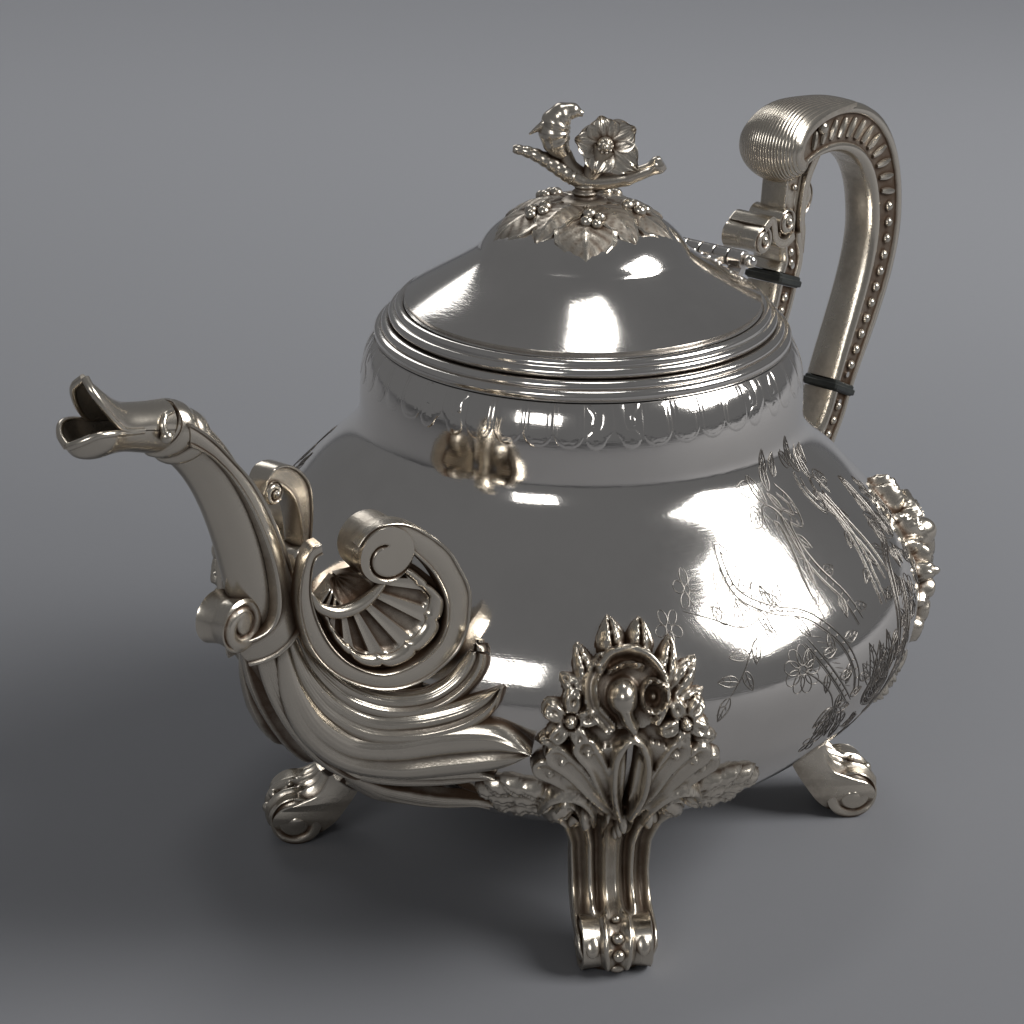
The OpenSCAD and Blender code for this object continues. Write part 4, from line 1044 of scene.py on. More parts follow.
    def bud(self):
        part = Piece()
        t = np.linspace(0, 1, 56)
        line = through([(-4.9, 13.1), (-6.6, 15.6), (-7.4, 18.8), (-6.4, 21.8), (-3.9, 23.5), (-0.8, 22.9)],
                       56)
        r = np.interp(t, np.linspace(0, 1, 8), [1.6, 2.8, 3.5, 3.65, 3.4, 2.7, 1.8, 0.7])
        r = r + 0.16 * np.sin(t * np.pi * 12) * (t > 0.15)
        part.rod(self.to_world(xyz(line[:, 0], -0.2, line[:, 1])), r, 26, 0.15, (0, 1, 0))
        u = np.linspace(0, 1, 26)
        sepal = through([(-5.6, 18.6), (-8.4, 20.3), (-11, 19.6), (-13.2, 18.2)], 26)
        swell = 0.3 + 2.4 * np.sin(np.pi * u ** 0.6) * (1 - 0.6 * u)
        part.rod(self.to_world(xyz(sepal[:, 0], -1.2, sepal[:, 1])), swell, 16, 0.15, (0, 1, 0), 0.5)
        stalk = through([(-1.2, 8.6), (-3.4, 10.4), (-4.9, 13.4)], 16)
        part.rod(self.to_world(xyz(stalk[:, 0], 0, stalk[:, 1])), 1.7, 14, 0.5, (0, 1, 0))
        cast(part, "finial_closed_bud", "finial_bud", 50, "lid")


# ---- spout ----

class TEAPOT_OT_spout(PieceOperator):
    """Cast spout with its open beak, collar, ribbons, volute and ridge scroll"""
    bl_idname = "teapot.spout"
    bl_label = "Spout"

    def build(self, context):
        self.tube()
        self.collar()
        for side, name in ((1, "left"), (-1, "right")):
            self.ribbon(side, name)
        self.volute()
        self.ridge_scroll()

    # the beak's two lips, from the tube to the tip: side edge (x, y, z) and middle line (x, z)
    LOWER_LIP = (
        [(-139, -4.8, 147.4), (-146, -5.0, 149.4), (-152.6, -5.2, 150.9), (-156.3, -6.0, 152.0),
         (-159.8, -5.1, 152.4), (-162.2, -2.8, 151.2), (-163.0, -0.2, 149.9)],
        [(-141.5, 142.2), (-145.5, 143.6), (-150.3, 145.2), (-154.5, 145.8), (-158.3, 146.0), (-161.3, 147.2),
         (-163.0, 149.6)])
    UPPER_LIP = (
        [(-139, -4.8, 147.6), (-146, -5.0, 149.6), (-152.4, -5.0, 151.3), (-155.0, -4.8, 153.9),
         (-157.0, -4.0, 157.2), (-158.2, -2.6, 160.2), (-157.8, -0.2, 162.3)],
        [(-137.5, 152.4), (-143.0, 153.4), (-148.5, 154.9), (-152.0, 157.0), (-154.4, 159.2), (-156.2, 161.0),
         (-157.6, 162.4)])

    def tube(self):
        part = Piece()
        n = 48
        ang = np.linspace(0, 360, n, endpoint=False)
        outer, inner = [], []
        for s in np.linspace(0.0, 1.97, 90):
            outer.append(spout_point(s, ang))
            inner.append(spout_point(s, ang, -1.2))
        rings = outer + inner[::-1]
        dark = np.concatenate([np.zeros(len(outer)), np.full(len(inner), 0.75)])
        part.loop(rings, np.repeat(dark[:, None], n, axis=1))
        for edge, middle in (self.LOWER_LIP, self.UPPER_LIP):
            self.lip(part, np.array(edge, float), np.array(middle, float))
        cast(part, "spout_tube", "spout", 60)

    def lip(self, part, edge, middle):
        """One lip: quarter ellipses from its middle line to both side edges, with a rounded rim."""
        n = 44
        e, c = through(edge, n), through(middle, n)
        alpha = np.radians(np.linspace(-90, 90, 31))
        way = np.sign(c[0, 1] - e[0, 2])
        outer, inner = [], []
        for k in range(n):
            for rows, shift, narrow in ((outer, 0.0, 0.0), (inner, 1.1, 0.8)):
                cx, cz = c[k, 0], c[k, 1] - way * shift
                f = 1 - np.cos(alpha)
                half = max(abs(e[k, 1]) - narrow, 0.05)
                rows.append(xyz(cx + (e[k, 0] - cx) * f, half * np.sin(alpha), cz + (e[k, 2] - cz) * f))
        outer, inner = (outer, inner) if way > 0 else ([r[::-1] for r in outer], [r[::-1] for r in inner])
        part.sheet(outer, inner, np.full((n, len(alpha)), 0.04))
        for flip in (1, -1):
            part.rod(e[n // 3:] * [1, flip, 1], np.linspace(0.55, 0.85, n - n // 3), 12, 0.0, (0, 0.3, 1))

    def collar(self):
        """Leafy band where the beak leaves the tube."""
        part = Piece()
        n = 96
        ang = np.linspace(0, 360, n, endpoint=False)
        # from the tube to the beak and back inside: place along the spine, height and tarnish
        section = [(1.85, 0.1, 0.5), (1.855, 0.6, 0.2), (1.865, 0.85, 0.0), (1.885, 0.9, 0.0),
                   (1.905, 0.75, 0.1), (1.915, 0.4, 0.6), (1.93, 0.8, 0.0), (1.95, 0.95, 0.0),
                   (1.965, 0.8, 0.1), (1.985, 0.2, 0.4), (1.985, -0.3, 0.8), (1.85, -0.3, 0.8)]
        wave = 0.05 * np.abs(np.cos(np.radians(ang))) + 0.04 * bump(ang, 90, 22)
        rings, dark = [], []
        for s, h, d in section:
            rings.append(spout_point(s - wave + 0.02, ang, h))
            dark.append(np.full(n, d))
        part.loop(rings, np.array(dark))
        for side in (1, -1):
            part.ball((-142.7, -5.9 * side, 147.4), 1.35, 20, 13)
            curl = through([(-138.6, 151.0), (-141.2, 151.2), (-142.7, 149.9), (-142.9, 148.2)], 24)
            path = xyz(curl[:, 0], np.linspace(-3.6, -5.5, 24) * side, curl[:, 1])
            part.rod(path, np.linspace(0.5, 0.8, 24), 10, 0.05, (0, 1, 0))
        cast(part, "spout_leaf_collar", "spout_collar", 50)

    # the ribbon's two edges, from the beak down: place along the spine, angle round the tube and height
    RIDGE_EDGE = [
        (1.95, 158, 1.3), (1.85, 161, 1.5), (1.709, 160, 1.6), (1.552, 147, 1.9), (1.40, 139, 2.3),
        (1.24, 134, 2.8), (1.08, 133, 3.2), (0.97, 142, 3.2), (0.93, 172, 3.2), (0.905, 205, 3.3),
        (0.90, 245, 3.4)]
    KEEL_EDGE = [
        (1.90, 194, 1.3), (1.778, 186, 1.4), (1.613, 179, 1.5), (1.46, 174, 1.7), (1.30, 173, 2.1),
        (1.18, 179, 2.5), (1.085, 190, 2.9), (1.03, 206, 3.1), (1.01, 226, 3.2), (1.005, 246, 3.3),
        (1.0, 262, 3.4)]
    # the ribbon's section: share of the way across, lift and tarnish
    RIBBON_SECTION = [
        (0, -0.1, 0.6), (0.03, 0.3, 0), (0.07, 0.42, 0), (0.11, 0.3, 0.1), (0.16, -0.2, 0.6),
        (0.3, -0.1, 0.1), (0.5, -0.05, 0.05), (0.7, -0.1, 0.1), (0.84, -0.2, 0.6), (0.89, 0.3, 0.1),
        (0.93, 0.42, 0), (0.97, 0.3, 0), (1, -0.1, 0.6)]

    def ribbon(self, side, name):
        """Flat band with raised edges that winds from the beak down to the keel."""
        part = Piece()
        n = 110
        scale = [100, 1, 10]
        across, lift, shade = np.array(self.RIBBON_SECTION).T
        f = across[:, None]
        top, bottom = [], []
        for ridge, keel in zip(through(np.array(self.RIDGE_EDGE) * scale, n) / scale,
                               through(np.array(self.KEEL_EDGE) * scale, n) / scale):
            s, a, h = (ridge * (1 - f) + keel * f).T
            top.append(spout_point(s, a, h + lift) * [1, side, 1])
            bottom.append(spout_point(s, a, 0.15) * [1, side, 1])
        part.sheet(top, bottom, np.tile(shade, (n, 1)))
        cast(part, f"spout_band_{name}", f"spout_ribbon_{name}", 45)

    def volute(self):
        """Roll under the throat, with a spiral eye on each side."""
        part = Piece()
        c = spout_point(1.02, 270, 4.45)
        scroll_roll(part, (c[0] + 1.6, c[2] + 3.6), 5.7, 4.4, 200, eye=False)
        cast(part, "spout_keel_volute", "spout_volute")

    # outlines of the strut behind the spout, from its front roll round and down
    STRUT_OUTER = [(-113.0, 124.6), (-110.4, 129.2), (-105, 129.1), (-99.9, 124.9), (-98.3, 118.6),
                   (-98.5, 111.8), (-99.6, 107.5)]
    STRUT_INNER = [(-110.6, 124.4), (-108.6, 126.4), (-106.2, 125.4), (-103.3, 121.2), (-102.0, 116.6),
                   (-101.6, 111.4), (-101.5, 108.2)]

    def ridge_scroll(self):
        part = Piece()
        outer, inner = through(self.STRUT_OUTER, 60), through(self.STRUT_INNER, 60)
        band(part, 0.5 * (outer + inner), 0.5 * np.linalg.norm(outer - inner, axis=1), 5.4, dark_edge=0.3)
        scroll_roll(part, (-109.9, 124.6), 2.5, 3.3, 100)
        scroll_roll(part, (-102.2, 106.6), 3.0, 3.3, 20)
        cast(part, "spout_back_scroll", "spout_ridge_scroll")


def scroll_roll(part, at, r, half, start, eye=True, move=None):
    """Roll along Y at an XZ point, with a spiral groove and a round eye in each end."""
    n = 56
    t = np.linspace(0, 2 * np.pi, n, endpoint=False)
    radii = np.array([0.06, 0.16, 0.26, 0.34, 0.44, 0.54, 0.64, 0.74, 0.84, 0.92, 1.0]) * r
    for side in (1, -1):
        rings, dark = [], []
        for q in radii:
            turn = (q / r * 1.6 - (t - math.radians(start)) / (2 * np.pi)) % 1.0
            groove = bump(turn, 0.5, 0.16) * (q > 0.3 * r) * (q < 0.97 * r)
            crown = 0.75 * (q < 0.28 * r) * math.sqrt(max(0, 1 - (q / (0.3 * r)) ** 2)) if eye else 0
            y = half + crown + 0.25 * (1 - (q / r) ** 2) - 0.75 * groove - 0.3 * (q >= 0.98 * r)
            rings.append(xyz(at[0] + q * np.cos(t), side * y, at[1] + q * np.sin(t)))
            dark.append(groove * 0.9)
        for y, k in ((half - 0.5, 1.04), (half - 0.9, 1.0), (0.0, 0.9)):
            rings.append(xyz(at[0] + r * k * np.cos(t), side * y, at[1] + r * k * np.sin(t)))
            dark.append(np.full(n, 0.35 if k == 0.9 else 0.05))
        part.rings(move(np.array(rings)) if move else rings, np.array(dark))


def band(part, line, half, thick, dark_edge=0.4, channel=0.45, fillet=0.5):
    """Strap that follows a line in XZ, half wide in that plane and thick along Y, with a
    channel between two raised edges in each side."""
    line = np.asarray(line, float)
    half = np.broadcast_to(np.asarray(half, float), (len(line),))
    side = sideways(line)
    ty = thick / 2
    rim = 0.55
    quarter = [(1.0, 0.0, 0.1), (1.0, ty - fillet, 0.0), (0.985, ty - 0.15, 0.0), (0.94, ty, 0.0),
               (0.985 - rim / 3, ty, 0.05), (0.9 - rim / 3, ty - channel, dark_edge + 0.3),
               (0.3, ty - channel * 1.1, dark_edge), (0.0, ty - channel * 1.1, dark_edge)]
    pts = quarter + [(-a, b, c) for a, b, c in quarter[-2::-1]]
    ring = pts + [(a, -b, c) for a, b, c in pts[-2:0:-1]]
    rings = [[(p[0] + s[0] * a * h, b, p[1] + s[1] * a * h) for a, b, c in ring]
             for p, s, h in zip(line, side, half)]
    part.rings(rings, np.tile([c for a, b, c in ring], (len(line), 1)))


# ---- ornament at the spout's root ----

class TEAPOT_OT_root_scrolls(PieceOperator):
    """C-scrolls and scallop shells on both sides of the spout's root"""
    bl_idname = "teapot.root_scrolls"
    bl_label = "C-scrolls and shells"

    # outlines of the C-scroll's band, from its eye round to its foot: along the row and up
    OUTER = [
        (-29.6, 113.2), (-27.6, 115.6), (-24.0, 117.0), (-18.6, 116.3), (-13.1, 113.0), (-7.9, 108.2),
        (-5.1, 103.5), (-2.6, 97.8), (-2.4, 92.5), (-3.4, 87.2), (-6.6, 82.3), (-14.7, 78.0), (-24.2, 78.3),
        (-34.6, 83.8), (-41.0, 91.9), (-43.3, 101.4), (-42.7, 108.8), (-40.6, 114.4), (-38.0, 115.4)]
    INNER = [
        (-27.6, 111.4), (-26.2, 112.8), (-23.4, 113.4), (-19.6, 112.2), (-16.5, 108.8), (-12.8, 104.6),
        (-10.5, 100.9), (-8.9, 96.8), (-8.5, 93.2), (-9.0, 89.4), (-11.0, 86.0), (-16.2, 82.9), (-24.1, 82.3),
        (-31.8, 86.6), (-37.0, 93.5), (-40.1, 102.1), (-40.3, 108.3), (-39.4, 112.0), (-37.6, 113.0)]
    # the band's section: share of the way from outer to inner line, height and tarnish
    SECTION = [
        (0, -2.2, 0.6), (0, 1.6, 0.2), (0.025, 1.95, 0), (0.06, 2.05, 0), (0.10, 1.95, 0.1),
        (0.135, 1.62, 0.45), (0.3, 1.72, 0.05), (0.5, 1.78, 0), (0.7, 1.72, 0.05), (0.865, 1.62, 0.45),
        (0.90, 1.95, 0.1), (0.94, 2.05, 0), (0.975, 1.95, 0), (1, 1.6, 0.2), (1, -2.2, 0.6)]
    EYE, EYE_R = (-23.0, 110.0), 6.35
    # the eye's side, from its face down: height, share of its radius and tarnish
    EYE_SIDE = [(2.3, 1.02, 0.0), (1.2, 1.03, 0.1), (-1.6, 1.02, 0.4), (-5.0, 1.07, 0.5), (-8.2, 1.04, 0.45),
                (-9.6, 0.8, 0.4)]
    HINGE = (-33.7, 106.2)
    # reach of the shell from its hinge by direction
    REACH = [(-146, 6.5), (-110, 9.5), (-91, 15.4), (-77, 21.6), (-63, 26.4), (-50, 28.8), (-35, 29.4),
             (-22, 27.0), (-10, 19.6), (4, 13)]
    SHELL_LIP = [(-40.4, 104.6), (-38.6, 101.0), (-34.2, 98.8), (-29.0, 99.4), (-24.6, 102.2), (-22.2, 105.2)]

    def build(self, context):
        for side, name in ((1, "left"), (-1, "right")):
            flip = np.array([1, side, 1])
            put = upright((-72, -26.6, 0), -22)
            self.scroll(put, flip, name)
            self.shell(put, flip, name)

    def scroll(self, put, flip, name):
        part = Piece()
        n = 170
        outer, inner = through(self.OUTER, n), through(self.INNER, n)
        share, height, shade = np.array(self.SECTION).T
        rings = [put(a[0] * (1 - share) + b[0] * share, a[1] * (1 - share) + b[1] * share, height) * flip
                 for a, b in zip(outer, inner)]
        part.rings(rings, np.tile(shade, (n, 1)))
        # spiral disc that rolls back towards the spout
        t = np.linspace(0, 2 * np.pi, 64, endpoint=False)
        (cu, cz), r = self.EYE, self.EYE_R
        rings, dark = [], []
        for q in np.linspace(0.04, 1.0, 26) * r:
            turn = (q / r * 0.95 - t / (2 * np.pi) + 0.45) % 1.0
            groove = bump(turn, 0.5, 0.045) * (q > 0.33 * r)
            face = 2.6 + 0.1 * (1 - (q / r) ** 2) - 0.9 * groove
            rings.append(put(cu + q * np.cos(t), cz + q * np.sin(t), face) * flip)
            dark.append(groove)
        for h, k, d in self.EYE_SIDE:
            rings.append(put(cu + r * k * np.cos(t), cz + r * k * np.sin(t), h) * flip)
            dark.append(np.full(len(t), d))
        part.rings(rings, np.array(dark))
        cast(part, f"root_scroll_{name}", f"c_scroll_{name}")

    def shell(self, put, flip, name):
        """Fluted shell that fills the C-scroll: recessed slots, a thick scalloped rim and a curled lip."""
        part = Piece()
        flutes = 8
        cols = flutes * 14 + 1
        deg = np.linspace(-134, 2, cols)
        q = np.linspace(0, flutes, cols)
        across = (q % 1.0 - 0.5) * 2
        scallop = np.sqrt(np.clip(1 - across ** 2, 0, 1))
        reach = np.interp(deg, *np.array(self.REACH).T) * (0.955 + 0.045 * scallop)
        ang = np.radians(deg)
        top, bottom, dark = [], [], []
        for f in np.concatenate([np.linspace(0.03, 0.8, 30), np.linspace(0.82, 1.0, 14), [1.03, 1.12]]):
            u, z = self.HINGE[0] + reach * f * np.cos(ang), self.HINGE[1] + reach * f * np.sin(ang)
            hollow = -2.6 * bump(f, 0.12, 0.17)
            slot = np.clip((f - 0.36) / 0.07, 0, 1) * np.clip((0.845 - 0.05 * across ** 2 - f) / 0.03, 0, 1)
            sink = 0.95 * slot * np.clip((0.56 - np.abs(across)) / 0.12, 0, 1)
            rim = 1.0 * np.sqrt(np.clip(1 - ((f - 0.93) / 0.066) ** 2, 0, 1)) if f <= 1.0 else 0.0
            h = 0.35 + 0.5 * f + hollow - sink + rim + 0.25 * (1 - across ** 2) * (f < 0.86) * (sink < 0.1)
            top.append(put(u, z, h if f <= 1.0 else -1.0) * flip)
            bottom.append(put(u, z, -3.6) * flip)
            dark.append(np.clip(0.4 * (sink > 0.25) + 0.65 * (f < 0.3) + 0.5 * (f > 0.995) + 0.1, 0, 1))
        part.sheet(top, bottom, np.array(dark))
        # crescent lip below the hollow
        lip = through(self.SHELL_LIP, 44)
        swell = 0.3 + 1.25 * np.sin(np.pi * np.linspace(0, 1, 44)) ** 0.7
        part.rod(put(lip[:, 0], lip[:, 1], 1.2) * flip, swell, 16, 0.03, (0, 1, 0))
        cast(part, f"fluted_shell_{name}", f"scallop_shell_{name}", 50)


class TEAPOT_OT_acanthus(PieceOperator):
    """Acanthus leaves that wrap the spout's root and spread over the body"""
    bl_idname = "teapot.acanthus"
    bl_label = "Acanthus leaves"

    # each lobe: points (x, y, z, half width) along its middle, and the way it faces at both ends
    LOBES = [
        ([(-87.5, -2.0, 46.5, 1.2), (-80, -4.5, 41, 2.3), (-71, -8.5, 37.2, 2.6), (-63, -14, 35.3, 1.8),
          (-57.5, -18.5, 35, 0.4)],
         (-0.6, -0.4, -0.7), (-0.6, -0.3, -0.75), 1.0),
        ([(-90.5, -4.5, 50, 1.4), (-83.5, -9.5, 45.2, 2.7), (-76, -15.5, 42, 3.0), (-69.5, -21.5, 41, 2.2),
          (-64.5, -26.5, 41.3, 0.4)],
         (-0.6, -0.55, -0.55), (-0.65, -0.35, -0.65), 1.3),
        ([(-95, -5.5, 56.5, 1.3), (-91, -8, 53, 2.3), (-85, -13.5, 51, 2.8), (-79.5, -20.5, 51, 2.8),
          (-75.2, -27.5, 52.2, 2.2), (-72, -31.8, 53, 0.4)],
         (-0.55, -0.75, -0.35), (-0.75, -0.5, -0.4), 1.2),
        ([(-115.8, -3.0, 94, 1.8), (-112.3, -3.4, 82.5, 2.6), (-107.3, -4.2, 72.5, 3.3),
          (-100.6, -4.8, 62.5, 3.3), (-95, -5.2, 56, 2.7), (-90.5, -6.6, 52.4, 1.7),
          (-87.6, -7.6, 53.2, 0.5)],
         (-0.75, -0.65, -0.1), (-0.5, -0.75, -0.4), 2.0),
        ([(-111.5, -5.2, 90.5, 1.7), (-109.6, -6.0, 80, 3.0), (-104.3, -7.2, 69.6, 4.3),
          (-96.5, -10.5, 61.9, 5.4), (-88.5, -17.5, 59.8, 6.6), (-82, -26.5, 61.6, 7.2),
          (-76.9, -35.2, 63.2, 6.2), (-74.6, -39.8, 63.6, 3.9), (-72.6, -43.0, 63.8, 0.3)],
         (-0.45, -0.88, -0.15), (-0.85, -0.5, -0.05), 3.7),
        ([(-109.4, -5.8, 92, 1.3), (-107.3, -7.2, 83.5, 2.2), (-101.6, -9.4, 74.3, 3.2),
          (-94, -14.2, 68, 3.8), (-87, -21.3, 67.2, 4.0), (-81.5, -28.8, 69.6, 3.8),
          (-77.6, -33.7, 73.2, 2.8), (-75.2, -36.4, 77.2, 0.4)],
         (-0.2, -0.98, 0.05), (-0.85, -0.45, 0.25), 2.4),
        ([(-106.8, -5.2, 92.5, 1.3), (-104.3, -7.4, 84.6, 2.0), (-98.0, -11.2, 76.6, 2.8),
          (-90.6, -16.8, 72.4, 3.1), (-84.2, -22.8, 72.6, 3.1), (-79.5, -27.2, 76.2, 3.0),
          (-76.2, -29.4, 81.2, 2.7), (-74.2, -29.2, 86.0, 0.8)],
         (0.0, -1.0, 0.15), (-0.85, -0.42, 0.35), 2.2)]

    def build(self, context):
        for side, name in ((1, "left"), (-1, "right")):
            part = Piece()
            top, bottom = self.backing()
            part.sheet(top * [1, side, 1], bottom * [1, side, 1], np.full(top.shape[:2], 0.75))
            for points, start, end, high in self.LOBES:
                self.lobe(part, np.array(points, float), start, end, high, [1, side, 1])
            cast(part, f"root_leaf_{name}", f"acanthus_{name}", 60)

    def backing(self):
        """Plain sheet under the lobes, from the throat down over the root."""
        ang = np.linspace(272, 150, 60)
        top, bottom = [], []
        for f in np.linspace(0, 1, 60):
            s = 0.86 - 0.80 * f
            open_up = 0.62 + 0.38 * f
            a = 270 - (270 - ang) * open_up
            top.append(spout_point(s, a, 0.25 + 0.5 * f, 0.85 * f ** 2))
            bottom.append(spout_point(s, a, -0.9, 0.0))
        return np.array(top), np.array(bottom)

    def lobe(self, part, points, start, end, high, flip):
        """Long rolled leaf with a gutter, fine lines along it and a curled tip."""
        n, cols = 90, 41
        line = through(points, n)
        p, half = line[:, :3], line[:, 3]
        t = np.linspace(0, 1, n)
        way = unit(np.gradient(p, axis=0))
        face = unit(np.array(start)[None] * (1 - t[:, None]) + np.array(end)[None] * t[:, None])
        side = unit(np.cross(face, way))
        if abs(side[n // 2, 2]) > 0.2:
            side = side * np.where(side[:, 2:3] + side[:, 0:1] * 0.2 < 0, -1.0, 1.0)
        face = unit(np.cross(way, side) * np.sign((np.cross(way, side) * face).sum(1))[:, None])
        q = np.linspace(-1, 1, cols)
        grow_in = np.clip(t / 0.25, 0, 1)[:, None]
        curl = (np.clip((t - 0.8) / 0.2, 0, 1) ** 2)[:, None]
        roll = np.sqrt(np.clip(1 - np.abs(q) ** 2.4, 0, 1))[None, :]
        gutter = bump(q, -0.15, 0.2)[None, :] * np.clip((t - 0.15) / 0.5, 0, 1)[:, None]
        line_cut = 0.5 + 0.5 * np.cos(q * np.pi * 9)[None, :]
        h = high * ((0.45 + 0.55 * grow_in) * roll - 0.36 * gutter)
        h = h + 0.09 * line_cut * grow_in + 1.3 * curl * roll
        across = side[:, None] * (half[:, None] * q)[..., None]
        top = p[:, None] + across + face[:, None] * (h - 0.3)[..., None]
        bottom = p[:, None] + across * 0.96 - face[:, None] * (2.4 - 1.6 * curl[..., None])
        dark = np.clip(0.85 * np.abs(q[None, :]) ** 7 + 0.45 * gutter + 0.2 * (1 - line_cut), 0, 1)
        if np.cross(side[n // 2], way[n // 2]) @ face[n // 2] > 0:
            top, bottom, dark = top[:, ::-1], bottom[:, ::-1], dark[:, ::-1]
        part.sheet(top * flip, bottom * flip, dark)


# ---- handle ----

UPPER_AT, UPPER_TILT = vec(83.4, 125.0), 20.5
LOWER_AT, LOWER_TILT = vec(114.4, 86.6), 25.5
SLAB = 2.9
CHANNEL = 0.9


def lean(tilt):
    return vec(math.sin(math.radians(tilt)), math.cos(math.radians(tilt)))


def grip_line(n):
    """Middle of the grip in XZ, from the thumb rest round to the lower insulator."""
    end = LOWER_AT + (SLAB / 2 + 0.1) * lean(LOWER_TILT)
    return even(chain([[(86, 157.5), (96, 164.5), (131, 166), (132.8, 131)],
                       [(132.8, 131), (133.3, 116), end + 13 * lean(LOWER_TILT), end]], 60), n)


def strap(line, half, thick, inner=0.62):
    """Handle section along a line in XZ: a rounded inner face and, in each side, a channel between edges."""
    side = sideways(line)
    ty = thick / 2
    floor, dark_floor = ty - CHANNEL, 0.75
    quarter = [(1.0, 0.0, 0.5), (0.99, ty * 0.45, 0.45), (0.93, ty * 0.75, 0.25), (0.84, ty * 0.93, 0.0),
               (0.76, ty, 0.0), (inner + 0.04, ty, 0.0), (inner - 0.04, ty - 0.2, 0.2),
               (inner - 0.1, floor, dark_floor), (0.2, floor, dark_floor), (-0.2, floor, dark_floor),
               (-0.55, floor, dark_floor), (-0.6, ty - 0.2, 0.2), (-0.66, ty, 0.0), (-0.8, ty, 0.0),
               (-0.9, ty * 0.9, 0.0), (-0.975, ty * 0.6, 0.0), (-1.0, 0.0, 0.0)]
    ring = quarter + [(a, -b, c) for a, b, c in quarter[-2:0:-1]]
    rings = [[(p[0] + s[0] * a * h, b, p[1] + s[1] * a * h) for a, b, c in ring]
             for p, s, h in zip(line, side, half)]
    return np.array(rings), np.tile([c for a, b, c in ring], (len(line), 1))


